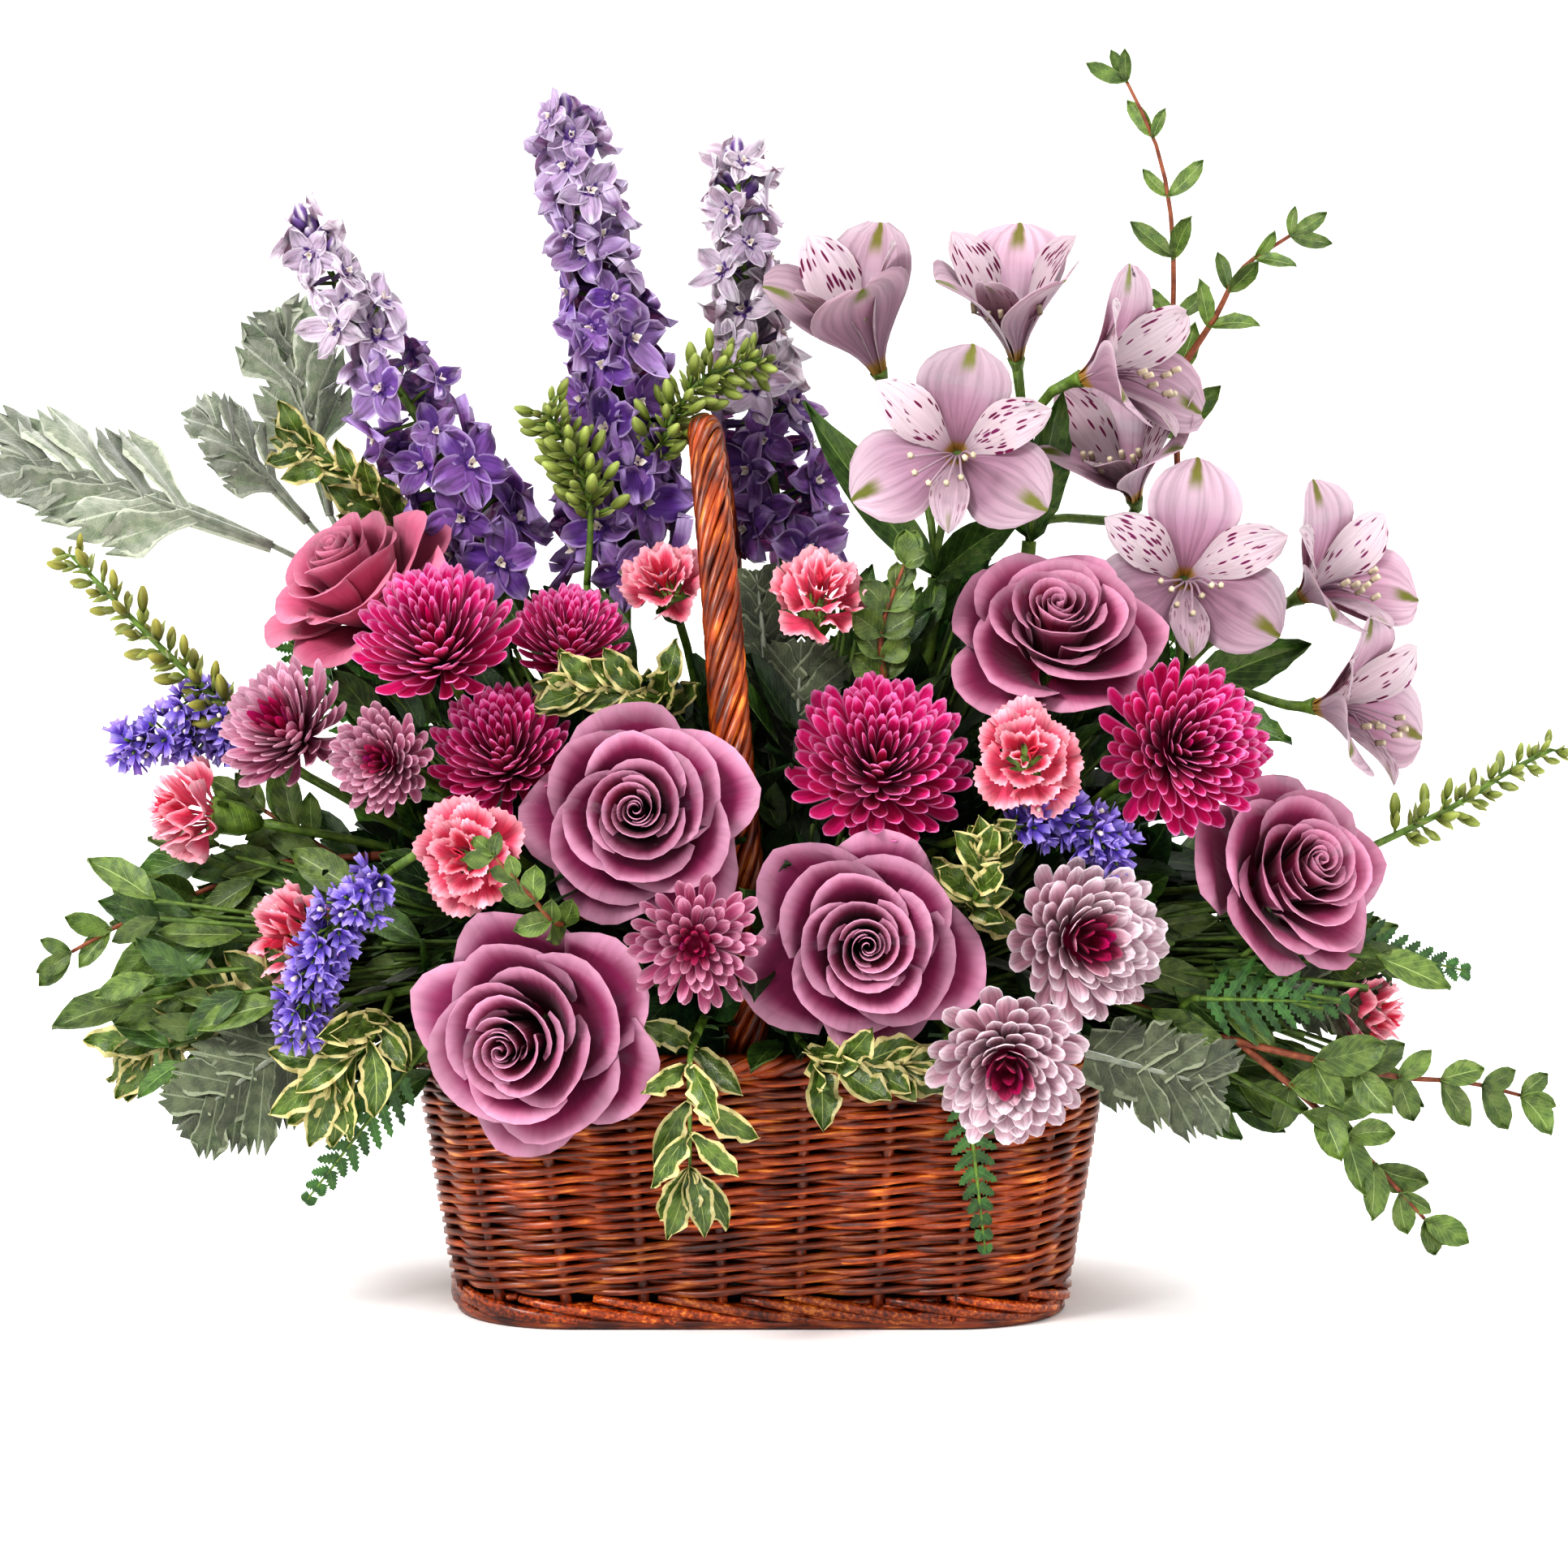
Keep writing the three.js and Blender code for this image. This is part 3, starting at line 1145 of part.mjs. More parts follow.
function buildFoliage() {
  BRANCHES.forEach(([name, colour, leaf, twigs], order) => {
    const bunch = new Bunch(name, colour);
    root(bunch, [vec(twigs[0][0][0])], firstWay(twigs[0][0]), 1.8);
    twigs.forEach(([points, pairs, from], seed) => {
      const face = leaf.face ? vec(leaf.face).normalize() : FRONT;
      leafyTwig(bunch, points.map(vec), { ...leaf, face, pairs, from }, order * 7 + seed);
    });
    bunch.close();
  });
  for (const [name, colour, kind, lobes, arch, blades] of BLADES) {
    const bunch = new Bunch(name, colour);
    blades.forEach(([start, base, tip, width, faceWay], order) => {
      const [stalk, bladeRoot, end] = [vec(start), vec(base), vec(tip)];
      const way = bladeRoot.clone().sub(stalk).normalize();
      if (order === 0) root(bunch, [stalk], way, 1.8);
      offerStalk(bunch, vec(blades[0][0]), stalk, bladeRoot.clone().addScaledVector(way, 2));
      const face = vec(faceWay).normalize();
      const length = bladeRoot.distanceTo(end);
      const make = kind === "fern"
        ? (size) => fernBlade(length * size, width * size, lobes, arch)
        : (size) => dustyBlade(length * size, width * size, lobes, arch);
      offerBlade(bunch, make, bladeRoot, end, face);
    });
    bunch.close();
  }
}

function buildFoam() {
  const bored = foam.solid.subtract(wasm.Manifold.union(holes));
  place("foam", "foam", largestBody(bored).simplify(HOLE_CLEARANCE / 10));
}

buildBasket();
buildBlooms();
buildSpikes();
buildFoliage();
buildFoam();

export default arrangement;
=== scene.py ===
"""Dresses the flower basket arrangement: willow basket, blooms, sprays and foliage.

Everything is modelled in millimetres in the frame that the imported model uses, and is made metres when a
piece is finished. Heads of flowers are described round their own axis, leaves along their own rib.
"""

import logging
from collections.abc import Callable, Sequence
from dataclasses import dataclass, field, replace
from enum import Enum
from functools import reduce
from math import copysign, cos, log, pi, radians, sin, sqrt, tau
from random import Random

import bmesh
import bpy
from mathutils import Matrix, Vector


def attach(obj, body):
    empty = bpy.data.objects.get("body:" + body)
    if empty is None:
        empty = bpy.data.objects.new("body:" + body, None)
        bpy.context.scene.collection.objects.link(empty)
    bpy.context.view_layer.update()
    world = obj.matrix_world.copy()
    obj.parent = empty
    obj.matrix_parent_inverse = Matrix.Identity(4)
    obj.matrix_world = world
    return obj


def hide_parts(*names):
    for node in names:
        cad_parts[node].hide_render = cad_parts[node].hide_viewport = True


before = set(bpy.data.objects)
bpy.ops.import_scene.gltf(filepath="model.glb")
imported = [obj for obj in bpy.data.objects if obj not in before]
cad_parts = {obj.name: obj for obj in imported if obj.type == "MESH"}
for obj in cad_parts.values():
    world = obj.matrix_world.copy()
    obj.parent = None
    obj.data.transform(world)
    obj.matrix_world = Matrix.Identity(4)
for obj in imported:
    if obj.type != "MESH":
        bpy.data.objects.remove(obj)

LOG = logging.getLogger("flower_basket")
MM = 0.001
UP = Vector((0, 0, 1))
FRONT = Vector((0, -1, 0))
GOLDEN_TURN = tau * 0.381966
# limits of a phase or a roll that may be anything, in radians
ANY_TURN = (0, 6.3)
# an edge bent by more than this stays sharp, in radians
SHARP_ANGLE = 1.1
# how far out and how high a stem enters the foam
FOAM_ENTRY = (78, 40, 106)
ATTRIBUTES = ("tone", "depth", "tint")
Point = tuple[float, float, float]
Colour = tuple[float, float, float, float]
Form = Callable[[float, float], Vector]
BMesh, Material, Object = bmesh.types.BMesh, bpy.types.Material, bpy.types.Object
Tree, Node, Socket = bpy.types.NodeTree, bpy.types.Node, bpy.types.NodeSocket


# ---- small tools


def linear(colour: str, alpha: float = 1.0) -> Colour:
    """Turns an sRGB hex colour into linear light.

    Args:
        colour: Six hex digits with a leading #.
        alpha: Alpha to append.

    Returns:
        Linear red, green and blue, and alpha.
    """
    values = [int(colour[i : i + 2], 16) / 255 for i in (1, 3, 5)]
    red, green, blue = (c / 12.92 if c <= 0.04045 else ((c + 0.055) / 1.055) ** 2.4 for c in values)
    return red, green, blue, alpha


def add(tree: Tree, kind: str, inputs: dict[str | int, object] | None = None, out: int | str = 0) -> Socket:
    """Adds a shader node.

    Args:
        tree: Node tree to add to.
        kind: Node type, without the prefix that all shader nodes share.
        inputs: Values, or sockets to link, by attribute name, input name or input number.
        out: Output to hand back.

    Returns:
        The output socket of the new node.
    """
    node = tree.nodes.new(f"ShaderNode{kind}")
    for key, value in (inputs or {}).items():
        if isinstance(value, Socket):
            tree.links.new(value, node.inputs[key])
        elif isinstance(key, str) and hasattr(node, key):
            setattr(node, key, value)
        else:
            node.inputs[key].default_value = value
    return node.outputs[out]


def put(name: str, data: bpy.types.ID) -> Object:
    """Puts an object into the scene.

    Args:
        name: Its name.
        data: Its mesh, light or camera.

    Returns:
        The object.
    """
    made = bpy.data.objects.new(name, data)
    bpy.context.scene.collection.objects.link(made)
    return made


def smooth(low: float, high: float, value: float) -> float:
    """Rises smoothly from 0 at low to 1 at high."""
    share = min(1, max(0, (value - low) / (high - low)))
    return share * share * (3 - 2 * share)


def rounded(share: float, start: float, reach: float, least: float, power: float = 2.0) -> float:
    """Rounds a tip off: 1 up to a start, then down over a reach to no less than a least value's root."""
    return sqrt(max(least, 1 - max(0, (share - start) / reach) ** power))


def dome_way(nth: int, height: float, share: float = 1.0) -> Vector:
    """Gives the way out of a dome at a height, for the nth of a spiral."""
    turn, ring = nth * GOLDEN_TURN, sqrt(max(0.02, 1 - height * height * share))
    return Vector((cos(turn) * ring, sin(turn) * ring, height))


def spoke(side: Vector, way: Vector, turn: float) -> Vector:
    """Gives the direction at a turn round a way, from its side."""
    return side * cos(turn) + way.cross(side) * sin(turn)


def bend(root: float, pull: float, tip: float, share: float) -> float:
    """Follows a quadratic through a root, a pull and a tip value."""
    return root * (1 - share) ** 2 + 2 * pull * share * (1 - share) + tip * share**2


def facing(azimuth: float, elevation: float) -> Vector:
    """Gives the way a bloom faces: azimuth 0 looks out of the front, in degrees."""
    turn, tilt = radians(azimuth), radians(elevation)
    return Vector((sin(turn) * cos(tilt), -cos(turn) * cos(tilt), sin(tilt)))


class Route:
    """A smooth curve through points, measured along its length, in millimetres."""

    def __init__(self, points: Sequence[Sequence[float]], bends: bool = True) -> None:
        """Makes the curve.

        Args:
            points: Points that it passes.
            bends: Whether it is smoothed between them.
        """
        marks = [Vector(p) for p in points]
        self.samples = marks[:1]
        if bends:
            ends = [2 * marks[0] - marks[1], *marks, 2 * marks[-1] - marks[-2]]
            for i in range(len(marks) - 1):
                self.samples += self._span(*ends[i : i + 4])
        else:
            self.samples = marks
        self.marks = [0.0]
        for one, other in zip(self.samples, self.samples[1:]):
            self.marks.append(self.marks[-1] + (other - one).length)
        self.length = self.marks[-1]

    @staticmethod
    def _span(before: Vector, start: Vector, end: Vector, after: Vector) -> list[Vector]:
        """Samples one centripetal span between two marks.

        Args:
            before: Mark before the span.
            start: Mark that it starts from.
            end: Mark that it ends at.
            after: Mark after the span.

        Returns:
            Ten points, the last one at its end.
        """
        gaps = [max(1e-3, sqrt((b - a).length)) for a, b in ((before, start), (start, end), (end, after))]
        first = (start - before) / gaps[0] - (end - before) / (gaps[0] + gaps[1]) + (end - start) / gaps[1]
        last = (end - start) / gaps[1] - (after - start) / (gaps[1] + gaps[2]) + (after - end) / gaps[2]
        return [start * (2 * t**3 - 3 * t * t + 1) + first * gaps[1] * (t**3 - 2 * t * t + t)
                + end * (3 * t * t - 2 * t**3) + last * gaps[1] * (t**3 - t * t)
                for t in (step / 10 for step in range(1, 11))]

    def _find(self, share: float) -> tuple[int, float]:
        """Finds the sample before a share of the length.

        Args:
            share: Share of the length.

        Returns:
            The sample's number, and how far past it the share lies, 0 to 1.
        """
        mark = min(1, max(0, share)) * self.length
        low, high = 0, len(self.marks) - 2
        while low < high:
            middle = (low + high + 1) // 2
            low, high = (middle, high) if self.marks[middle] <= mark else (low, middle - 1)
        gap = self.marks[low + 1] - self.marks[low]
        return low, (mark - self.marks[low]) / gap if gap else 0.0

    def at(self, share: float) -> Vector:
        """Gives the point at a share of the length."""
        index, rest = self._find(share)
        return self.samples[index].lerp(self.samples[index + 1], rest)

    def way(self, share: float) -> Vector:
        """Gives the direction at a share of the length."""
        return (self.at(min(1, share + 0.02)) - self.at(max(0, share - 0.02))).normalized()

    def normals(self, steps: int, first: Vector) -> list[Vector]:
        """Carries a normal along the curve without a twist.

        Args:
            steps: Spans between the normals.
            first: What the first normal leans to.

        Returns:
            A normal at each end of each span.
        """
        normals = [first]
        for step in range(steps + 1):
            way = self.way(step / steps)
            normals.append((normals[-1] - way * normals[-1].dot(way)).normalized())
        return normals[1:]

    @classmethod
    def swung(cls, start: Vector, lead: Vector, pull: Vector, end: Vector) -> "Route":
        """Swings a curve from one place to another.

        Args:
            start: Where it starts.
            lead: What it heads for there.
            pull: Where it seems to come from at its end.
            end: Where it ends.

        Returns:
            The curve.
        """
        marks = []
        for step in range(9):
            t = step / 8
            marks.append(start * (1 - t) ** 3 + lead * 3 * t * (1 - t) ** 2 + pull * 3 * t * t * (1 - t) + end * t**3)
        return cls(marks, bends=False)


@dataclass
class Seat:
    """A local frame: a place, and the ways to its side, up and out."""

    place: Vector
    side: Vector
    up: Vector
    out: Vector

    @classmethod
    def head(cls, centre: Sequence[float], axis: Vector, roll: float = 0.0) -> "Seat":
        """Seats a flower head, with up as upright as it can be.

        Args:
            centre: Middle of the head.
            axis: The way it faces.
            roll: Turn about the axis, in radians.

        Returns:
            The seat, whose out is the axis.
        """
        base = Vector((0, 1, 0)) if abs(axis.z) > 0.98 else UP
        side = base.cross(axis).normalized()
        up = axis.cross(side)
        return cls(Vector(centre), side * cos(roll) + up * sin(roll), up * cos(roll) - side * sin(roll), axis)

    @classmethod
    def leaf(cls, root: Vector, way: Vector, face: Vector) -> "Seat":
        """Seats a leaf.

        Args:
            root: Where it grows from.
            way: The way it grows.
            face: The side its face looks.

        Returns:
            The seat, whose up runs along the rib.
        """
        along = way.normalized()
        side = along.cross(face + Vector((0.01, 0.02, 0))).normalized()
        return cls(root, side, along, side.cross(along))

    def at(self, x: float, y: float, z: float) -> Vector:
        """Gives the point at local coordinates."""
        return self.place + self.side * x + self.up * y + self.out * z

    def round(self, angle: float, reach: float, rise: float) -> Vector:
        """Gives the point at an angle and a reach from the axis, and a rise along it."""
        return self.at(cos(angle) * reach, sin(angle) * reach, rise)

    def ray(self, turn: float, out: float, aside: float, rise: float) -> Vector:
        """Gives the point out along a ray at a turn, moved aside from it, and a rise along the axis."""
        return self.at(cos(turn) * out - sin(turn) * aside, sin(turn) * out + cos(turn) * aside, rise)


class Piece:
    """One piece of the arrangement while it is modelled: its mesh, UV map, point attributes and random draws."""

    _scratch: bpy.types.Mesh | None = None

    def __init__(self, name: str, seed: int, *materials: Material) -> None:
        """Starts an empty piece.

        Args:
            name: Name of the piece.
            seed: Seed of its random draws.
            materials: Its materials, which its parts name by number.
        """
        self.name = name
        self.rng = Random(seed)
        self.materials = materials
        self.mesh = self._blank()
        if Piece._scratch is None:
            Piece._scratch = bpy.data.meshes.new("scratch")

    def draw(self, low: float = 0.0, high: float = 1.0) -> float:
        """Draws a number between two limits."""
        return self.rng.uniform(low, high)

    @staticmethod
    def _blank() -> BMesh:
        """Makes an empty mesh.

        Returns:
            The mesh, with the layers that every piece has.
        """
        mesh = bmesh.new()
        mesh.loops.layers.uv.new("UVMap")
        for name in ATTRIBUTES:
            mesh.verts.layers.float.new(name)
        return mesh

    def _grid(self, across: int, along: int, form: Form, marks: Point) -> BMesh:
        """Makes a grid and moves each point by a formula.

        Args:
            across: Faces across it.
            along: Faces along it.
            form: Gives a point from u, -1 to 1 across, and v, 0 to 1 along.
            marks: Its tone, depth and tint for the material.

        Returns:
            The grid.
        """
        part = self._blank()
        layers = [part.verts.layers.float[name] for name in ATTRIBUTES]
        made = bmesh.ops.create_grid(part, x_segments=across, y_segments=along, size=1.0, calc_uvs=True)
        for vert in made["verts"]:
            vert.co = form(vert.co.x, (vert.co.y + 1) / 2)
            for layer, mark in zip(layers, marks):
                vert[layer] = mark
        return part

    def _join(self, part: BMesh, material: int) -> None:
        """Adds a finished part to the piece.

        Args:
            part: The part, which is used up.
            material: Number of its material.
        """
        for face in part.faces:
            face.material_index = material
        part.to_mesh(Piece._scratch)
        part.free()
        self.mesh.from_mesh(Piece._scratch)

    def sheet(self, across: int, along: int, form: Form, thickness: float = 0.35, material: int = 0,
              marks: Point = (0.5, 1, 0)) -> None:
        """Adds a thin closed petal or leaf.

        Args:
            across: Faces across it.
            along: Faces along it.
            form: Its middle surface.
            thickness: Thickness in millimetres.
            material: Number of its material.
            marks: Its tone, depth and tint for the material.
        """
        part = self._grid(across, along, form, marks)
        bmesh.ops.solidify(part, geom=part.faces[:], thickness=thickness)
        for face in part.faces:
            face.smooth = True
        for edge in part.edges:
            if edge.is_manifold and edge.calc_face_angle(0) > SHARP_ANGLE:
                edge.smooth = False
        self._join(part, material)

    def rod(self, route: Route | list[Sequence[float]], radius: float | Callable[[float], float], sides: int = 5,
            steps: int = 8, material: int = 0, marks: Point = (0.5, 1, 0), loop: bool = False,
            flat: float = 1.0) -> None:
        """Adds a round rod along a route, its ends closed or, as a loop, joined.

        Args:
            route: Its middle line, or points that it passes.
            radius: Radius in millimetres, or the radius at a share of the length.
            sides: Faces round it.
            steps: Faces along it.
            material: Number of its material.
            marks: Its tone, depth and tint for the material.
            loop: Whether its ends meet.
            flat: Height of the section as a share of its width.
        """
        route = route if isinstance(route, Route) else Route(route)
        normals = route.normals(steps, UP if abs(route.way(0).z) < 0.9 else FRONT)
        sides_at = [route.way(step / steps).cross(normal) for step, normal in enumerate(normals)]
        rows = steps if loop else steps + 2
        thick = radius if callable(radius) else lambda _: radius

        def form(u: float, v: float) -> Vector:
            """Places a point of the skin; the first and last rows of an open rod close its ends."""
            row = round(v * rows)
            step = row if loop else min(steps, max(0, row - 1))
            reach = 0 if not loop and row in (0, rows) else thick(step / steps)
            angle = pi * (u + 1)
            meets = loop and row == rows
            middle = route.samples[0] if meets else route.at(step / steps)
            nth = 0 if meets else step
            return middle + normals[nth] * cos(angle) * reach * flat + sides_at[nth] * sin(angle) * reach

        part = self._grid(sides, rows, form, marks)
        bmesh.ops.remove_doubles(part, verts=part.verts[:], dist=1e-4)
        bmesh.ops.recalc_face_normals(part, faces=part.faces[:])
        for face in part.faces:
            face.smooth = True
        self._join(part, material)

    def finish(self, slot: str, *nodes: str) -> None:
        """Makes the object, in metres, on the body, in place of its CAD nodes.

        Args:
            slot: Material slot; not used.
            nodes: CAD nodes that it stands for.
        """
        bmesh.ops.scale(self.mesh, vec=(MM, MM, MM), verts=self.mesh.verts[:])
        data = bpy.data.meshes.new(self.name)
        self.mesh.to_mesh(data)
        self.mesh.free()
        for material in self.materials:
            data.materials.append(material)
        made = put(self.name, data)
        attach(made, "root")
        if nodes:
            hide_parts(*nodes)
        LOG.info("%s: %d faces, for %s", self.name, len(data.polygons), ", ".join(nodes) or "no node")


# ---- finishes


@dataclass(frozen=True)
class Finish:
    """A finish, which becomes a material by its name."""

    name: str

    def make(self) -> Material:
        """Makes the material.

        Returns:
            The finished material.
        """
        material = bpy.data.materials.new(self.name)
        material.use_nodes = True
        self.paint(material.node_tree, material.node_tree.nodes["Principled BSDF"])
        return material

    def paint(self, tree: Tree, shader: Node) -> None:
        """Feeds and sets the shader; each kind of finish has its own way."""


@dataclass(frozen=True)
class PetalFinish(Finish):
    """A living petal: soft, faintly velvety and lit through, darker in the throat and paler at its rim, partly its own
    colour and partly painted shade and painted highlight.
    """

    throat: str
    body: str
    rim: str
    heart: str
    other_body: str
    other_rim: str
    rim_from: float = 0.7
    heart_to: float = 0.75
    throat_to: float = 0.4
    edge: float = 0.0
    veins: float = 0.25
    vein_count: float = 26.0
    roughness: float = 0.5
    dashes: str = ""
    glow: str = "#beacb0"
    tips: str = ""
    rim_fade: float = 0.0

    def paint(self, tree: Tree, shader: Node) -> None:
        """Paints from the petal's own UV map and its tone, depth and tint.

        Args:
            tree: Node tree of the material.
            shader: Its shader.
        """
        uv, side, along = leaf_space(tree)
        tone, depth, tint = (add(tree, "Attribute", {"attribute_name": name}, "Fac") for name in ATTRIBUTES)
        body = mix(tree, tint, linear(self.body), linear(self.other_body))
        rim = mix(tree, tint, linear(self.rim), linear(self.other_rim))
        colour = mix(tree, ramp(tree, depth, self.heart_to * 0.4, self.heart_to), linear(self.heart), body)
        # paler toward the rim and along the edges: the petal's own paler edge, and on the roses partly painted
        # highlight on the rolled lip
        kept = ramp(tree, depth, self.rim_fade * 0.35, max(self.rim_fade, 0.001))
        colour = mix(tree, times(tree, ramp(tree, along, self.rim_from, 1), kept), colour, rim)
        if self.edge:
            colour = mix(tree, times(tree, ramp(tree, side, 1 - self.edge, 1), kept), colour, rim)
        # darker toward the base: the petal's own throat colour, and on the roses and mums partly painted shade in the
        # crevices
        colour = mix(tree, ramp(tree, along, self.throat_to, 0.05), colour, linear(self.throat))
        shift = scaled(tree, tone, 9)
        vein = add(tree, "TexNoise", {
            "Scale": 1, "Detail": 2, "Vector": stretched(tree, uv, (self.vein_count, 1.5, 1), shift)})
        vein = ramp(tree, vein, 0.35, 0.7)
        shade = calc(tree, "MULTIPLY_ADD", vein, -self.veins, 1 + self.veins / 2)
        colour = scaled(tree, colour, times(tree, shade, ramp(tree, tone, 0, 1, 0.84, 1.12)))
        if self.dashes:
            # flecks some 1 mm wide and 4 mm long, on the narrow tepals alone
            marks = stretched(tree, uv, (12, 6, 1), shift)
            fleck = add(tree, "TexVoronoi", {"Scale": 1, "Randomness": 0.75, "Vector": marks})
            narrow = ramp(tree, tint, 0.4, 0.6)
            dash = times(tree, ramp(tree, fleck, 0.37, 0.27), ramp(tree, along, 0.2, 0.3),
                         ramp(tree, along, 0.95, 0.88), narrow)
            glow = times(tree, ramp(tree, along, 0.1, 0.3), ramp(tree, along, 0.85, 0.6), narrow)
            colour = mix(tree, glow, colour, linear(self.glow), 0.6)
            colour = mix(tree, dash, colour, linear(self.dashes))
        if self.tips:
            broad = ramp(tree, tint, 0.6, 0.4)
            tip = times(tree, ramp(tree, along, 0.74, 0.88), ramp(tree, side, 0.26, 0.08), broad)
            colour = mix(tree, tip, colour, linear(self.tips))
        wire(tree, shader, colour, vein, 0.35, 0.0004)
        dress(shader, {
            "Roughness": self.roughness, "Sheen Weight": 0.1, "Sheen Roughness": 0.4,
            "Subsurface Weight": 0.18, "Subsurface Radius": (1, 0.5, 0.6),
            "Subsurface Scale": 0.0015, "Specular IOR Level": 0.22})


@dataclass(frozen=True)
class LeafFinish(Finish):
    """A leaf: waxy or felted, with a pale midrib, side veins and its own margin."""

    body: str
    shade: str
    margin: str
    rib: str
    margin_from: float = 1.1
    roughness: float = 0.42
    felt: float = 0.0
    rib_width: float = 0.05

    def paint(self, tree: Tree, shader: Node) -> None:
        """Paints from the leaf's own UV map and its tone.

        Args:
            tree: Node tree of the material.
            shader: Its shader.
        """
        _, side, along = leaf_space(tree)
        tone = add(tree, "Attribute", {"attribute_name": "tone"}, "Fac")
        place = add(tree, "TexCoord", out="Object")
        # blotches some 4 mm across, and a fine grain of 0.6 mm
        blotch = add(tree, "TexNoise", {"Scale": 250, "Detail": 3, "Vector": place})
        grain = add(tree, "TexNoise", {"Scale": 1600, "Detail": 2, "Vector": place})
        colour = mix(tree, ramp(tree, blotch, 0.35, 0.65), linear(self.shade), linear(self.body))
        slant = calc(tree, "MULTIPLY_ADD", side, -0.35, along)
        vein = ramp(tree, calc(tree, "SINE", calc(tree, "MULTIPLY", slant, 50)), 0.8, 1)
        colour = mix(tree, vein, colour, linear(self.rib), 0.25 * (1 - self.felt))
        colour = mix(tree, ramp(tree, side, self.rib_width, self.rib_width * 0.3), colour, linear(self.rib), 0.8)
        if self.margin_from < 1:
            wander = calc(tree, "MULTIPLY_ADD", blotch, 0.4, side)
            margin = ramp(tree, wander, self.margin_from + 0.18, self.margin_from + 0.24)
            colour = mix(tree, margin, colour, linear(self.margin))
        colour = scaled(tree, colour, ramp(tree, tone, 0, 1, 0.7, 1.25))
        wire(tree, shader, colour, calc(tree, "MULTIPLY_ADD", vein, -0.6, grain), 0.4 + 0.4 * self.felt, 0.0005)
        dress(shader, {
            "Roughness": self.roughness, "Sheen Weight": self.felt, "Sheen Roughness": 0.6,
            "Subsurface Weight": 0.08, "Subsurface Radius": (0.5, 1, 0.3), "Subsurface Scale": 0.001,
            "Specular IOR Level": 0.5 - 0.4 * self.felt})


@dataclass(frozen=True)
class WillowFinish(Finish):
    """Stained willow: peeled rods, dyed red-brown and lacquered, so their fibres catch long highlights; their light
    fibre streaks are partly grain, partly painted highlight.
    """

    dark: str = "#481606"
    body: str = "#8e3c10"
    light: str = "#d08236"

    def paint(self, tree: Tree, shader: Node) -> None:
        """Paints from fibres along each rod's UV map.

        Args:
            tree: Node tree of the material.
            shader: Its shader.
        """
        uv = add(tree, "UVMap", {"uv_map": "UVMap"})
        tone = add(tree, "Attribute", {"attribute_name": "tone"}, "Fac")
        fibres = stretched(tree, uv, (9, 46, 1), scaled(tree, tone, 17))
        fibre = add(tree, "TexNoise", {"Scale": 1, "Detail": 4, "Roughness": 0.6, "Vector": fibres})
        # stain pools some 12 mm long
        pool = add(tree, "TexNoise", {"Scale": 80, "Detail": 3, "Vector": add(tree, "TexCoord", out="Object")})
        blend = calc(tree, "MULTIPLY_ADD", pool, 0.6, fibre)
        colour = mix(tree, ramp(tree, blend, 0.62, 0.86), linear(self.dark), linear(self.body))
        # lightest streaks along the fibres: partly the willow's own grain, partly painted highlight
        colour = mix(tree, ramp(tree, blend, 0.84, 1.08), colour, linear(self.light))
        colour = scaled(tree, colour, ramp(tree, tone, 0, 1, 0.62, 1.3))
        wire(tree, shader, colour, fibre, 0.5, 0.0004)
        dress(shader, {"Roughness": 0.38, "Coat Weight": 0.25, "Coat Roughness": 0.3})


@dataclass(frozen=True)
class PlainFinish(Finish):
    """A plain moulded or foamed stuff: cellular foam, liner film or the studio floor."""

    body: str
    shade: str
    scale: float
    roughness: float = 0.8
    depth: float = 0.0005

    def paint(self, tree: Tree, shader: Node) -> None:
        """Paints from noise in the piece's own space.

        Args:
            tree: Node tree of the material.
            shader: Its shader.
        """
        place = add(tree, "TexCoord", out="Object")
        grain = add(tree, "TexNoise", {"Scale": self.scale, "Detail": 4, "Vector": place})
        colour = mix(tree, ramp(tree, grain, 0.35, 0.65), linear(self.shade), linear(self.body))
        wire(tree, shader, colour, grain, 0.5, self.depth)
        dress(shader, {"Roughness": self.roughness})


def dress(shader: Node, values: dict[str, float | Point]) -> None:
    """Sets constants on the shader's own sockets."""
    for name, value in values.items():
        shader.inputs[name].default_value = value


def wire(tree: Tree, shader: Node, colour: Socket, height: Socket, strength: float, distance: float) -> None:
    """Feeds the shader its colour, and bumps of a strength and a distance from a height."""
    tree.links.new(colour, shader.inputs["Base Color"])
    bump = add(tree, "Bump", {"Strength": strength, "Distance": distance, "Height": height})
    tree.links.new(bump, shader.inputs["Normal"])


def leaf_space(tree: Tree) -> tuple[Socket, Socket, Socket]:
    """Reads where a point lies on a petal or leaf.

    Args:
        tree: Node tree to add to.

    Returns:
        The UV map, the distance from the rib, 0 to 1, and the way along, 0 to 1.
    """
    uv = add(tree, "UVMap", {"uv_map": "UVMap"})
    split = add(tree, "SeparateXYZ", {0: uv}).node
    side = calc(tree, "ABSOLUTE", calc(tree, "MULTIPLY_ADD", split.outputs[0], 2, -1))
    return uv, side, split.outputs[1]


def calc(tree: Tree, operation: str, *terms: float | Socket) -> Socket:
    """Works out a value from numbers or sockets."""
    return add(tree, "Math", {"operation": operation, **dict(enumerate(terms))})


def times(tree: Tree, *sources: Socket) -> Socket:
    """Multiplies several values."""
    return reduce(lambda one, other: calc(tree, "MULTIPLY", one, other), sources)


def scaled(tree: Tree, source: Socket, amount: float | Socket) -> Socket:
    """Scales a colour or a place."""
    return add(tree, "VectorMath", {"operation": "SCALE", 0: source, "Scale": amount})


def stretched(tree: Tree, uv: Socket, scale: Point, shift: Socket) -> Socket:
    """Stretches a UV map and shifts it, so that no two petals or rods have the same grain."""
    place = add(tree, "Mapping", {"Scale": scale, "Vector": uv})
    return add(tree, "VectorMath", {"operation": "ADD", 0: place, 1: shift})


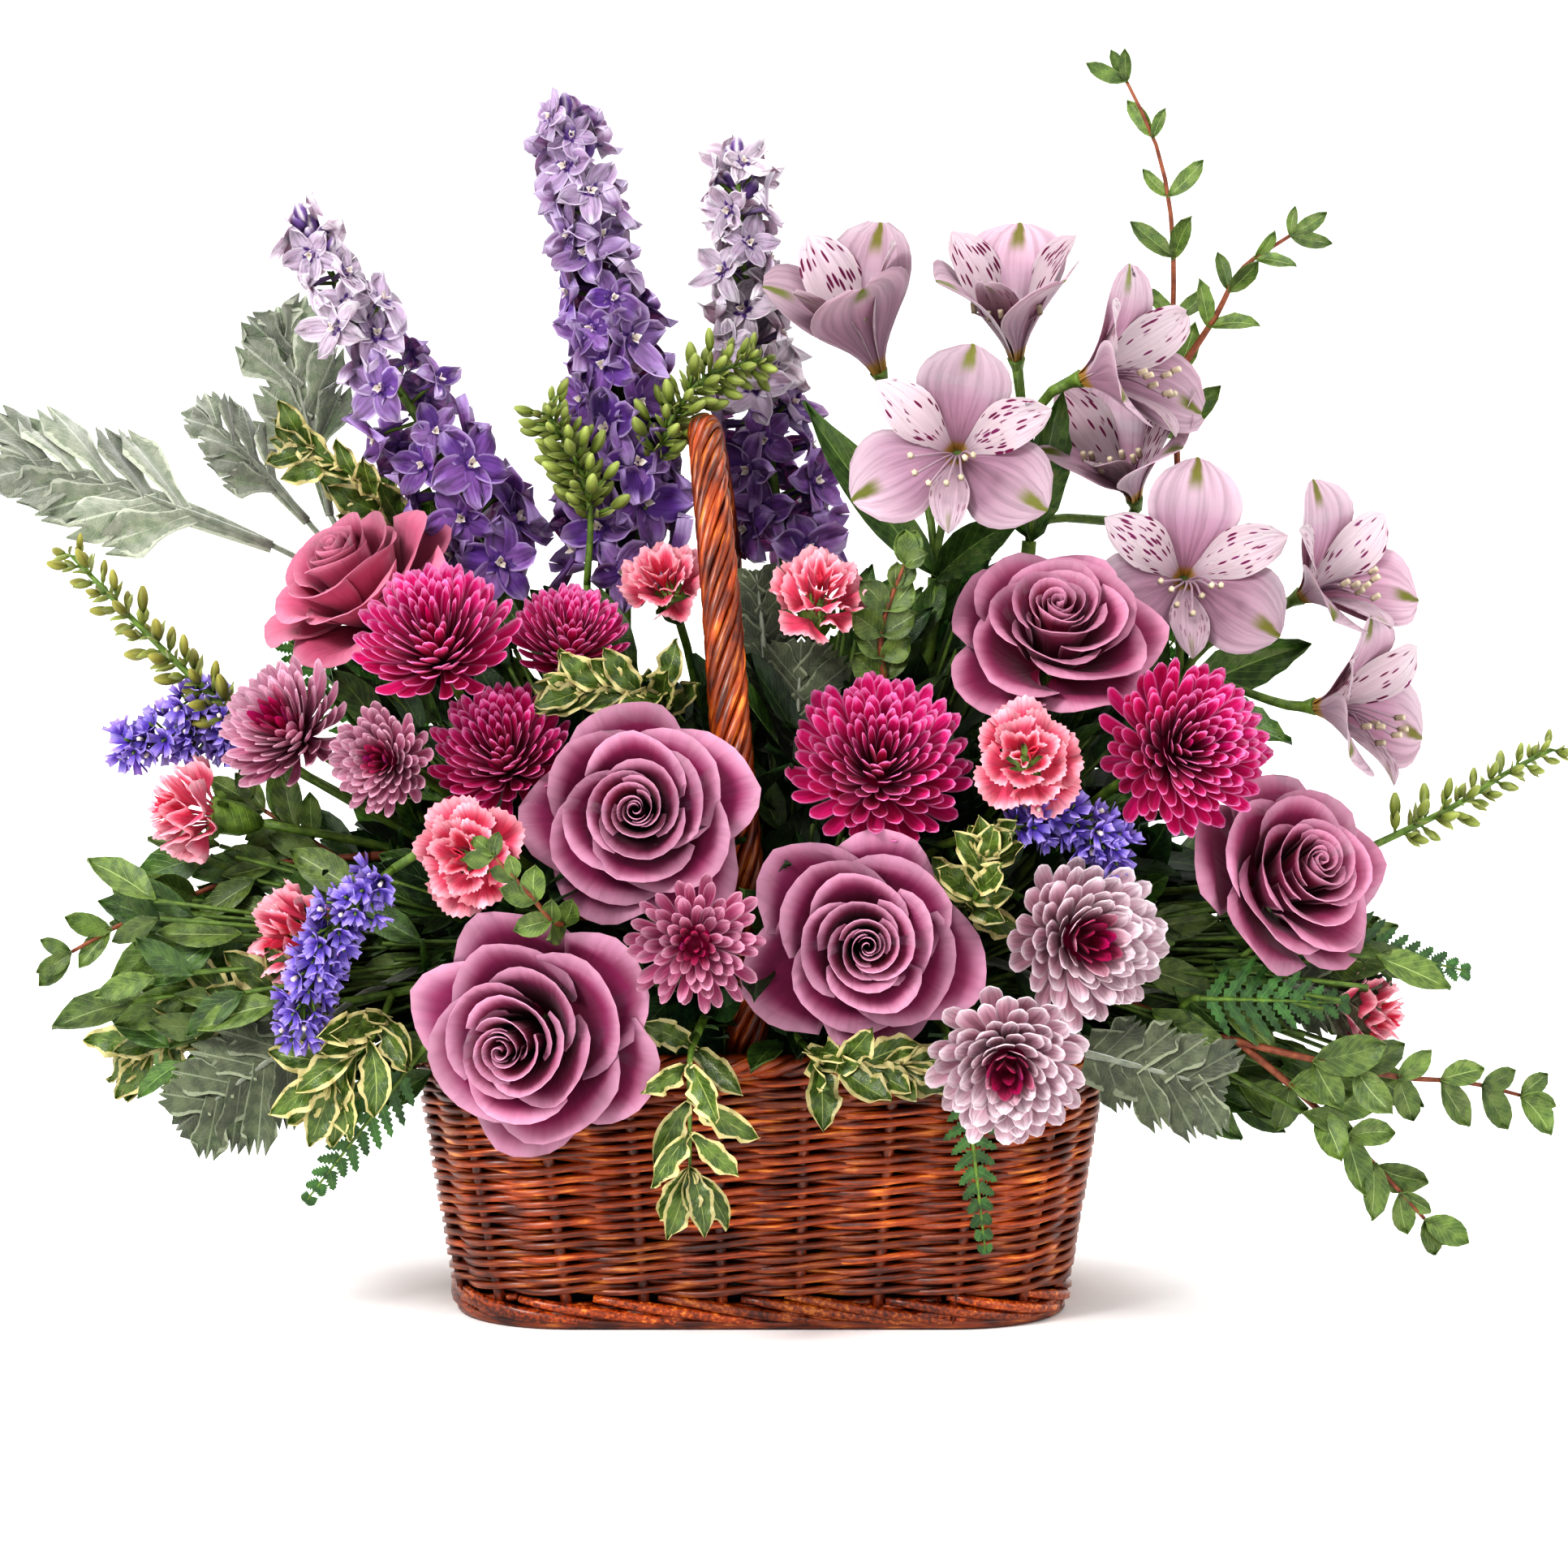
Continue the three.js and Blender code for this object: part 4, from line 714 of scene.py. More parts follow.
def ramp(tree: Tree, source: Socket, low: float, high: float, start: float = 0.0, end: float = 1.0) -> Socket:
    """Maps a value from low..high to start..end with a smooth, clamped rise."""
    return add(tree, "MapRange", {"interpolation_type": "SMOOTHSTEP", 0: source, 1: low, 2: high, 3: start, 4: end})


def mix(tree: Tree, factor: Socket, one: Colour | Socket, other: Colour | Socket, strength: float = 1.0) -> Socket:
    """Mixes two colours by a factor times a strength."""
    factor = factor if strength == 1 else calc(tree, "MULTIPLY", factor, strength)
    return add(tree, "Mix", {"data_type": "RGBA", 0: factor, 6: one, 7: other}, 2)


class Palette:
    """The finishes of the arrangement, each made once."""

    def __init__(self) -> None:
        """Makes the materials."""
        # garden-type spray of lavender roses: cool mauve, a magenta throat painted as shade in the cup, silvery rims
        # partly painted highlight
        self.rose = PetalFinish(
            "lavender_rose_petal", "#740c38", "#86345c", "#b6859b", "#902650", "#be6280", "#be788e",
            rim_from=0.8, throat_to=0.74, edge=0.1, veins=0.1, vein_count=24, heart_to=0.45).make()
        # magenta chrysanthemum: saturated, with lilac undersides that edge each petal, and a deep throat partly painted
        # shade in the crevices
        self.mum_magenta = PetalFinish(
            "magenta_mum_petal", "#94064a", "#ca2878", "#cc78a6", "#b01060", "#ca2878", "#cc78a6",
            rim_from=0.86, throat_to=0.3, edge=0.28, veins=0.3, vein_count=7, heart_to=0.4).make()
        # lilac chrysanthemum: nearly white tips over an orchid body, wine-red heart
        self.mum_lilac = PetalFinish(
            "lilac_mum_petal", "#86164c", "#b05a80", "#bc8a9e", "#980e50", "#cca4b2", "#d0c0c6",
            rim_from=0.5, throat_to=0.38, edge=0.3, veins=0.35, vein_count=6, heart_to=0.27,
            rim_fade=0.22).make()
        # mini carnation: coral pink with fringed, nearly cream edges
        self.carnation = PetalFinish(
            "coral_carnation_petal", "#9a1c3c", "#cc5470", "#e4a4ae", "#c43c56", "#d67a8c", "#e8b8c0",
            rim_from=0.72, throat_to=0.6, edge=0.0, veins=0.3, vein_count=24, heart_to=0.4).make()
        # alstroemeria: pale orchid, upper petals flecked with maroon, outer ones tipped with green
        self.alstroemeria = PetalFinish(
            "alstroemeria_petal", "#98783c", "#927484", "#a8929c", "#927484", "#a8949e", "#b0a0a6",
            rim_from=0.5, throat_to=0.14, edge=0.25, veins=0.3, vein_count=16,
            dashes="#5a1038", tips="#5f6428").make()
        # larkspur: thin violet sepals that bleach to lilac up the spike
        self.larkspur = PetalFinish(
            "larkspur_sepal", "#4e3270", "#6e4a84", "#907aa4", "#523274", "#b2a4ae", "#c8c0c4",
            rim_from=0.6, throat_to=0.13, edge=0.2, veins=0.45, vein_count=9).make()
        self.bee = PetalFinish("larkspur_eye", "#7a6a48", "#c8bcb0", "#e0d8d8", "#b8a890", "#c8bcb0", "#e0d8d8").make()
        # statice: dry papery calyx, blue-violet
        self.statice = PetalFinish(
            "statice_calyx", "#42308a", "#6c58b0", "#9a8acc", "#5a44a0", "#6c58b0", "#9a8acc",
            rim_from=0.4, throat_to=0.3, veins=0.4, vein_count=6, roughness=0.8).make()
        self.bud = PetalFinish(
            "larkspur_bud", "#566628", "#6e7a38", "#929c5a", "#62722e", "#6a6630", "#8c8442",
            rim_from=0.3, throat_to=0.3, veins=0.3, vein_count=8, roughness=0.45).make()
        self.anther = PetalFinish("anther", "#6a5a50", "#a79a86", "#c9bda4", "#a79a86", "#7a2050", "#a04070").make()
        self.stem = LeafFinish("green_stem", "#6a8434", "#4c6424", "#6a8434", "#869c50", roughness=0.5).make()
        self.twig = LeafFinish("red_twig", "#8a5236", "#6a3420", "#8a5236", "#9c6848", roughness=0.55).make()
        self.leaf = LeafFinish("broad_leaf", "#4a662c", "#30481e", "#4a662c", "#849c5a").make()
        # deep green salal leaves, used inside and behind the blooms: partly their own green, partly painted shade
        self.deep_green_and_shade_leaf = LeafFinish("deep_green_painted_shade_leaf", "#2c4622", "#182c16", "#2c4622", "#5c7844").make()
        self.eucalyptus = LeafFinish(
            "parvifolia_leaf", "#5c6e32", "#3e5022", "#5c6e32", "#92a068", roughness=0.45).make()
        self.pittosporum = LeafFinish(
            "variegated_pittosporum_leaf", "#566a2a", "#384c1e", "#b4aa78", "#98a05c",
            margin_from=0.72, roughness=0.35).make()
        self.fern = LeafFinish("leather_fern", "#375e28", "#20421a", "#375e28", "#628844", roughness=0.4).make()
        # dusty miller: white felt over grey-green
        self.felt = LeafFinish(
            "dusty_miller_felt", "#7e8272", "#666e5c", "#9a9e8e", "#a6aa9a",
            margin_from=0.86, roughness=0.9, felt=0.6, rib_width=0.08).make()
        # a darker copy of the felt: painted shade, for every dusty miller but the high one on the left
        self.painted_shade_felt = LeafFinish(
            "dusty_miller_painted_shade_leaf", "#50573f", "#3a412e", "#767c66", "#747a64",
            margin_from=0.9, roughness=0.9, felt=0.5, rib_width=0.07).make()
        self.willow = WillowFinish("stained_willow").make()
        # a darker copy of the willow: painted shade, for the stakes seen between the weavers and the handle's hidden
        # core
        self.willow_painted_shade = WillowFinish("stained_willow_painted_shade", "#2f0f05", "#6a2a0c", "#964a1c").make()
        self.foam = PlainFinish("wet_flower_foam", "#3f6b45", "#2c5233", 900, 0.95, 0.0008).make()
        self.liner = PlainFinish("black_liner_film", "#1b1c1b", "#101110", 60, 0.35, 0.001).make()
        self.floor = PlainFinish("white_paper_floor", "#ffffff", "#fdfdfd", 30, 0.9, 0.0001).make()


# ---- shared plant forms


def stem_to_foam(piece: Piece, start: Vector, way: Vector, radius: float, seed: int = 0) -> None:
    """Adds the stem of a head, curved down into the flower foam, in the piece's second material.

    Args:
        piece: Piece to add to.
        start: Back of the head.
        way: The way the head faces.
        radius: Stem radius.
        seed: Shifts the foot a little.
    """
    far, deep, high = FOAM_ENTRY
    foot = Vector((max(-far, min(far, start.x * 0.5)), max(-deep, min(deep, start.y * 0.45)), high))
    foot.x += 5 * sin(seed * 2.4)
    reach = (start - foot).length * 0.4
    piece.rod(Route.swung(foot, foot + UP * reach * 1.1, start - way.normalized() * reach, start), radius, 6, 10, 1)


def leaf(piece: Piece, root: Vector, way: Vector, face: Vector, length: float, width: float, material: int,
         belly: float = 0.5, droop: float = 0.12, wave: float = 0.0, fold: float = 0.16, grid: tuple[int, int] = (4, 7),
         point: float = 0.8) -> None:
    """Adds a simple leaf with a folded rib, a drooping tip and a waved margin.

    Args:
        piece: Piece to add to.
        root: Where it grows from.
        way: The way it grows.
        face: The side its face looks.
        length: Length along the rib.
        width: Greatest width.
        material: Number of its material.
        belly: Share of the length where it is widest.
        droop: How far the tip sinks, as a share of the length.
        wave: Height of the margin's waves in millimetres.
        fold: How far the halves lift from the rib, as a share of the width.
        grid: Faces across and along.
        point: Less than 1 gives a blunter leaf, more a finer tip.
    """
    seat = Seat.leaf(root, way, face)
    power = log(0.5) / log(belly)
    phase, sway = piece.draw(*ANY_TURN), piece.draw(-0.06, 0.06)
    waves = max(1, length / 8)

    def form(u: float, v: float) -> Vector:
        """Places a point of the blade."""
        half = width / 2 * max(0.03, sin(pi * min(1, v**power)) ** point)
        swing = wave * sin(waves * pi * v * 2 + phase + (1.5 if u > 0 else 0)) * abs(u) ** 1.5
        rise = fold * width * abs(u) ** 1.3 - droop * length * v * v + swing
        across = u * half + sway * length * sin(pi * v) + 0.3 * swing * copysign(1, u)
        return seat.at(across, v * length, rise)

    piece.sheet(*grid, form, 0.4, material, (piece.draw(), 1, 0))


@dataclass(frozen=True)
class Head:
    """A flower head: its middle, the way it faces in degrees, and its radius."""

    centre: Point
    azimuth: float
    elevation: float
    radius: float
    opening: float = 1.0

    @property
    def axis(self) -> Vector:
        """The way the head faces."""
        return facing(self.azimuth, self.elevation)

    def back(self, share: float) -> Vector:
        """The point a share of the radius behind the middle."""
        return Vector(self.centre) - self.axis * share * self.radius


# ---- basket


@dataclass
class Basket:
    """The willow basket: stakes, woven wall, rope borders, base, and the hoop handle."""

    looks: Palette
    height: float = 100.0
    base_half: tuple[float, float] = (109, 70)
    rim_half: tuple[float, float] = (124, 82)
    corner: float = 42.0
    stakes: int = 24
    rows: int = 20
    rod: float = 1.85
    foot: float = 9.0
    foot_rods: int = 26
    rim_strands: int = 4
    handle_rods: int = 9
    handle_pitch: float = 78.0
    handle_route: tuple[Point, ...] = (
        (-5, -61.5, 30), (-5, -64.6, 92), (-6, -72, 150), (-10, -67, 205), (-14, -50, 258), (-18, -26, 297),
        (-20, 0, 311), (-18, 26, 297), (-14, 50, 258), (-10, 67, 205), (-6, 72, 150), (-5, 64.6, 92), (-5, 61.5, 30),
    )

    def around(self, share: float, z: float, inset: float) -> tuple[Vector, Vector]:
        """Follows the basket's outline.

        Args:
            share: Share of the way round, from the right-hand side.
            z: Height.
            inset: Distance inside the outline.

        Returns:
            The point, and the way out of the basket there.
        """
        level = z / self.height
        half_x, half_y = (b + (r - b) * level for b, r in zip(self.base_half, self.rim_half))
        x, y = half_x - self.corner, half_y - self.corner
        arc = pi / 2 * self.corner
        spans = (y, arc, 2 * x, arc, 2 * y, arc, 2 * x, arc, y)
        bases = ((x, 0), (x, y), (x, y), (-x, y), (-x, y), (-x, -y), (-x, -y), (x, -y), (x, -y))
        mark, nth = (share % 1) * sum(spans), 0
        while mark > spans[nth] and nth < 8:
            mark -= spans[nth]
            nth += 1
        # even spans are straight, odd ones turn a corner
        angle = radians(nth // 2 * 90) + (mark / self.corner if nth % 2 else 0)
        out = Vector((cos(angle), sin(angle), 0))
        along = Vector((-out.y, out.x, 0)) * (0 if nth % 2 else mark)
        return Vector((*bases[nth], z)) + along + out * (self.corner - inset), out

    def build_wall(self) -> None:
        """Weaves the wall: weavers in front of and behind the stakes by turns."""
        piece = Piece("woven_wall", 11, self.looks.willow, self.looks.willow_painted_shade)
        low, high = self.foot + 5.5, self.height - 9.5
        pitch = (high - low) / (self.rows - 1)
        steps = self.stakes * 6
        for weaver in range(2 * self.rows):
            row, strand = divmod(weaver, 2)
            z, marks = low + row * pitch + piece.draw(-0.3, 0.3), []
            ragged = [piece.draw(-0.5, 0.5) for _ in range(9)]
            for step in range(steps + 1):
                share = (step % steps) / steps
                phase = pi * (share * self.stakes + row + strand)
                drift = sum(r * sin(tau * share * (i + 2) + i * 2.3) for i, r in enumerate(ragged))
                marks.append(self.around(share, z + 0.45 * drift - 1.15 * cos(phase), 3.5 - 2.1 * sin(phase))[0])
            thick = self.rod * piece.draw(0.84, 1.06)
            piece.rod(Route(marks, bends=False), thick, 5, steps, 0, (piece.draw(), 1, 0), loop=True, flat=0.92)
        for stake in range(self.stakes):
            share = (stake + 0.5) / self.stakes
            marks = [self.around(share, z, 3.4)[0] for z in (2.5, 30, 60, self.height - 3)]
            # the stakes take the darker willow: painted shade where they show between the weavers
            piece.rod(Route(marks), 2.3, 6, 6, 1, (0.4 + piece.draw() * 0.5, 1, 0))
        piece.finish("willow", "basket_wall")

    def build_foot(self) -> None:
        """Lays the foot border: slanting rods that lap over each other above a dark open band."""
        piece = Piece("foot_rope", 12, self.looks.willow)
        for nth in range(self.foot_rods):
            for layer in range(2):
                marks, high, jog = [], piece.draw(8, 11), piece.draw(-0.3, 0.3)
                for step in range(9):
                    t = step / 8
                    share = (nth + 0.5 * layer + jog + 2.5 * t) / self.foot_rods
                    z = 2.3 + (high - 2.4 * layer) * (t if layer else 1 - t) ** 1.15
                    inset = 1 + 4.4 * abs(t - 0.45) * (1.2 if layer else 0.9) + 1.6 * layer
                    marks.append(self.around(share, z, inset)[0])
                route = Route(marks, bends=False)
                piece.rod(route, lambda t: 2.1 * (1 - 0.35 * abs(2 * t - 1) ** 3), 6, 8, 0, (piece.draw(), 1, 0))
        for inset in (3, 7):
            marks = [self.around(step / 120, 2.2, inset)[0] for step in range(121)]
            piece.rod(Route(marks, bends=False), 2.15, 6, 120, 0, (piece.draw() * 0.6, 1, 0), loop=True)
        piece.finish("willow", "foot_border")

    def build_rim(self) -> None:
        """Lays the rim border: a rope of rods laid over the stakes' ends."""
        piece = Piece("rim_rope", 13, self.looks.willow)
        steps, turns = 144, 22
        for strand in range(self.rim_strands):
            marks = []
            for step in range(steps + 1):
                share = (step % steps) / steps
                angle = tau * (share * turns + strand / self.rim_strands)
                marks.append(self.around(share, self.height - 4.5 + 2.2 * sin(angle), 2.6 - 2.4 * cos(angle))[0])
            piece.rod(Route(marks, bends=False), 2.3, 6, steps, 0, (piece.draw(), 1, 0), loop=True)
        piece.finish("willow", "rim_border")

    def build_base(self) -> None:
        """Weaves the base: rods across it, and weavers that pass over and under them."""
        piece = Piece("woven_base", 14, self.looks.willow, self.looks.willow_painted_shade)
        inset, gap, pitch = 11.5, 20, 4.1
        half_x, half_y, corner = self.base_half[0] - inset, self.base_half[1] - inset, self.corner - inset

        def reach(across: float, half: float, other: float) -> float:
            """Gives how far a rod reaches at a distance from the middle."""
            over = max(0, abs(across) - (other - corner))
            return half - corner + sqrt(max(0, corner * corner - over * over)) - 2

        for x in range(-4 * gap, 5 * gap, gap):
            end = reach(x, half_y, half_x)
            piece.rod([(x, -end, 4.2), (x, 0, 4.2), (x, end, 4.2)], 2.2, 6, 4, 0, (piece.draw(), 1, 0))
        for nth in range(int(2 * (half_y - 3) / pitch)):
            y = -half_y + 4 + nth * pitch
            end = reach(y, half_x, half_y)
            marks = []
            for step in range(81):
                x = -end + 2 * end * step / 80
                marks.append((x, y, 4.1 + 1.9 * sin(pi * (x / gap + nth))))
            piece.rod(Route(marks, bends=False), 1.9, 5, 80, 0, (piece.draw(), 1, 0))
        piece.finish("willow", "basket_base")

    def build_handle(self) -> None:
        """Twists the handle: rods wound round a core, thinner towards the top and the pushed-in ends."""
        piece = Piece("twisted_handle", 15, self.looks.willow, self.looks.willow_painted_shade)
        core, steps = Route(self.handle_route), 150
        normals = core.normals(steps, Vector((1, 0, 0)))

        def thick(share: float) -> float:
            """Gives the handle's radius at a share of its length."""
            from_top = abs(share - 0.5) * 2
            return 6.5 + 1.7 * from_top / 0.72 if from_top < 0.72 else 8.2 - 3.2 * (from_top - 0.72) / 0.28

        for nth in range(self.handle_rods):
            marks = []
            for step, normal in enumerate(normals):
                share = step / steps
                angle = tau * (nth / self.handle_rods + share * core.length / self.handle_pitch)
                angle += 0.05 * sin(share * 37 + nth * 2)
                side = core.way(share).cross(normal)
                marks.append(core.at(share) + (normal * cos(angle) + side * sin(angle)) * (thick(share) - self.rod))
            size, tone = piece.draw(0.94, 1.06), 0.25 + 0.75 * piece.draw()
            piece.rod(Route(marks, bends=False), lambda t: size * 2.1 * thick(t) / 8.2, 7, steps, 0, (tone, 1, 0))
        # the core takes the darker willow: painted shade where it shows between the rods
        piece.rod(core, lambda t: thick(t) - 2.6, 8, 60, 1, (0.2, 1, 0))
        piece.finish("willow", "handle")

    def build(self) -> None:
        """Builds the whole basket."""
        for build_part in (self.build_wall, self.build_foot, self.build_rim, self.build_base, self.build_handle):
            build_part()


@dataclass
class Filling:
    """What the basket holds: the waterproof liner, and the block of wet flower foam that carries the stems."""

    looks: Palette
    half: tuple[float, float] = (90, 53)
    bottom: float = 9.6
    top: float = 124.0
    chamfer: float = 8.0

    def build_foam(self) -> None:
        """Cuts the foam block: rounded shoulders and a crumbly face."""
        piece = Piece("foam_block", 21, self.looks.foam)
        mesh, middle = piece.mesh, (self.top + self.bottom) / 2
        for vert in bmesh.ops.create_cube(mesh, size=1.0, calc_uvs=True)["verts"]:
            x, y, z = vert.co
            vert.co = Vector((x * 2 * self.half[0], y * 2 * self.half[1], middle + z * (self.top - self.bottom)))
        bmesh.ops.bevel(
            mesh, geom=mesh.edges[:], offset=self.chamfer, affect="EDGES", segments=3, profile=0.5, material=-1)
        bmesh.ops.triangulate(mesh, faces=[face for face in mesh.faces if len(face.verts) > 4])
        long_edges = [edge for edge in mesh.edges if edge.calc_length() > 30]
        bmesh.ops.subdivide_edges(mesh, edges=long_edges, cuts=7, use_grid_fill=True)
        for vert in mesh.verts:
            if vert.co.z > self.bottom + 1:
                vert.co.z += piece.draw(-0.5, 0.3)
        piece.finish("foam", "foam")

    def dress_liner(self) -> None:
        """Gives the liner its black film."""
        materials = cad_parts["liner"].data.materials
        materials.clear()
        materials.append(self.looks.liner)

    def build(self) -> None:
        """Builds the filling."""
        self.dress_liner()
        self.build_foam()


# ---- blooms


@dataclass(frozen=True)
class RoseRow:
    """A row of rose petals: how many, how far out and how high their rims are, and how much they curl."""

    count: int
    reach: float
    rise: float
    curl: float
    overlap: float


@dataclass
class Roses:
    """Lavender roses: a rolled heart and rows of cupped petals with rims that curl back."""

    looks: Palette
    rows: tuple[RoseRow, ...] = (
        RoseRow(2, 0.05, 0.39, 0.1, 1.8),
        RoseRow(3, 0.12, 0.41, 0.3, 1.6),
        RoseRow(3, 0.22, 0.42, 0.6, 1.55),
        RoseRow(3, 0.36, 0.4, 0.9, 1.5),
        RoseRow(4, 0.53, 0.3, 1.15, 1.42),
        RoseRow(4, 0.72, 0.14, 1.45, 1.42),
        RoseRow(5, 0.89, -0.08, 1.8, 1.32),
    )
    heads: dict[str, tuple[Head, float]] = field(default_factory=lambda: {
        "rose_low_left": (Head((-75, -125, 114), -15, 0, 39), 0),
        "rose_low_centre": (Head((36, -111, 143), 3, 5, 36), 0),
        "rose_centre": (Head((-42, -98, 187), -3, 12, 37), 0),
        "rose_high_right": (Head((103, -46, 247), 5, 45, 35), 0.1),
        "rose_right": (Head((188, -70, 163), 35, 25, 35), 0.15),
        "rose_high_left": (Head((-146, -12, 262), -55, 50, 35), 1),
    })

    def petal(self, piece: Piece, seat: Seat, radius: float, row: RoseRow, turn: float, marks: Point) -> None:
        """Adds one petal: a cupped blade that rises from the heart and curls back at its rim.

        Args:
            piece: Piece to add to.
            seat: Seat of the head.
            radius: Radius of the head.
            row: The petal's own row, with its reach.
            turn: Where it stands round the axis, in radians.
            marks: Its tone, depth and tint.
        """
        half = pi / row.count * row.overlap
        lift, lean = piece.draw(-0.09, 0.06) * row.reach, piece.draw(-0.16, 0.16) * row.reach
        phase, tuck = piece.draw(*ANY_TURN), piece.draw(0.7, 1.4)
        peak, off = piece.draw(0.7, 1.3), piece.draw(-0.3, 0.3)

        def form(u: float, v: float) -> Vector:
            """Places a point of the petal."""
            t = v * (1 - 0.15 * abs(u) ** 2 * (0.5 + row.reach))
            angle = turn + u * half * (0.3 + 0.7 * sin(pi / 2 * min(1, 1.25 * v)))
            out = 0.1 * (1 - t) ** 3 + 3 * (0.4 * row.reach + 0.05) * t * (1 - t) ** 2
            out += 3 * (0.82 * row.reach) * t * t * (1 - t) + row.reach * t**3
            rise = -0.62 * (1 - t) ** 3 - 3 * 0.52 * t * (1 - t) ** 2
            rise = rise + 3 * (row.rise - 0.3) * t * t * (1 - t) + row.rise * t**3
            # the rim rolls back most beside the tip, one edge tucks under its neighbour, and the tip is drawn out
            lip = smooth(0.8, 1, t) * row.curl * (0.3 + 0.95 * abs(u - 0.4 * off) ** 1.2)
            tip = max(0, 1 - 1.35 * abs(u - off)) ** 1.1 * smooth(0.45, 1, t)
            out += 0.085 * lip + (0.035 + 0.13 * row.reach) * u * tuck * t
            out += (0.04 + 0.22 * row.reach) * peak * row.reach * tip
            rise += -0.1 * lip * (0.45 + row.reach) + lift + lean * u + 0.05 * sin(3.4 * u + phase) * t * row.reach
            return seat.round(angle, out * radius, rise * radius)

        piece.sheet(12, 11, form, 0.45, 0, marks)

    def build_head(self, name: str, head: Head, tint: float, seed: int) -> None:
        """Builds one rose with its calyx and stem.

        Args:
            name: Name of its node.
            head: The rose's head.
            tint: 0 for lavender, 1 for pink.
            seed: Seed of its random draws.
        """
        piece = Piece(f"{name}_bloom", seed, self.looks.rose, self.looks.stem)
        seat = Seat.head(head.centre, head.axis, piece.draw(*ANY_TURN))
        shift = Vector((-0.26, 0, -0.1)) * head.radius if name == "rose_low_left" else Vector()
        turn = 0.0
        for row in self.rows:
            turn += 2.4
            seat.place = Vector(head.centre) + shift * (1 - row.reach)
            for nth in range(row.count):
                own = replace(row, reach=row.reach * piece.draw(0.96, 1.05) + 0.03 * nth / row.count)
                angle = turn + tau * nth / row.count + piece.draw(-0.16, 0.16)
                self.petal(piece, seat, head.radius, own, angle, (piece.draw(), row.reach, tint))
        seat.place = Vector(head.centre)
        for nth in range(5):
            way = seat.round(nth * tau / 5, 1, -0.3) - seat.place
            spot = seat.at(0, 0, -0.66 * head.radius)
            leaf(piece, spot, way, -head.axis, head.radius * 0.5, 7, 1, 0.35, -0.1, point=1.1)
        piece.rod([head.back(0.82), head.back(0.7), head.back(0.56)], lambda t: 3 + 3.4 * t, 8, 4, 1)
        stem_to_foam(piece, head.back(0.78), head.axis, 2.6, seed)
        piece.finish("rose_pink" if tint > 0.5 else "rose_lavender", name)

    def build(self) -> None:
        """Builds every rose."""
        for seed, (name, (head, tint)) in enumerate(self.heads.items(), 31):
            self.build_head(name, head, tint, seed)


class MumColour(Enum):
    """Colours of the chrysanthemums, each named as its finish in the palette."""

    MAGENTA = "mum_magenta"
    LILAC = "mum_lilac"


@dataclass(frozen=True)
class MumNode:
    """One chrysanthemum node: its colour, heads, and how the petals stand."""

    name: str
    colour: MumColour
    heads: tuple[Head, ...]
    dome: float
    petals: int
    width: float
    tint: float = 0.0


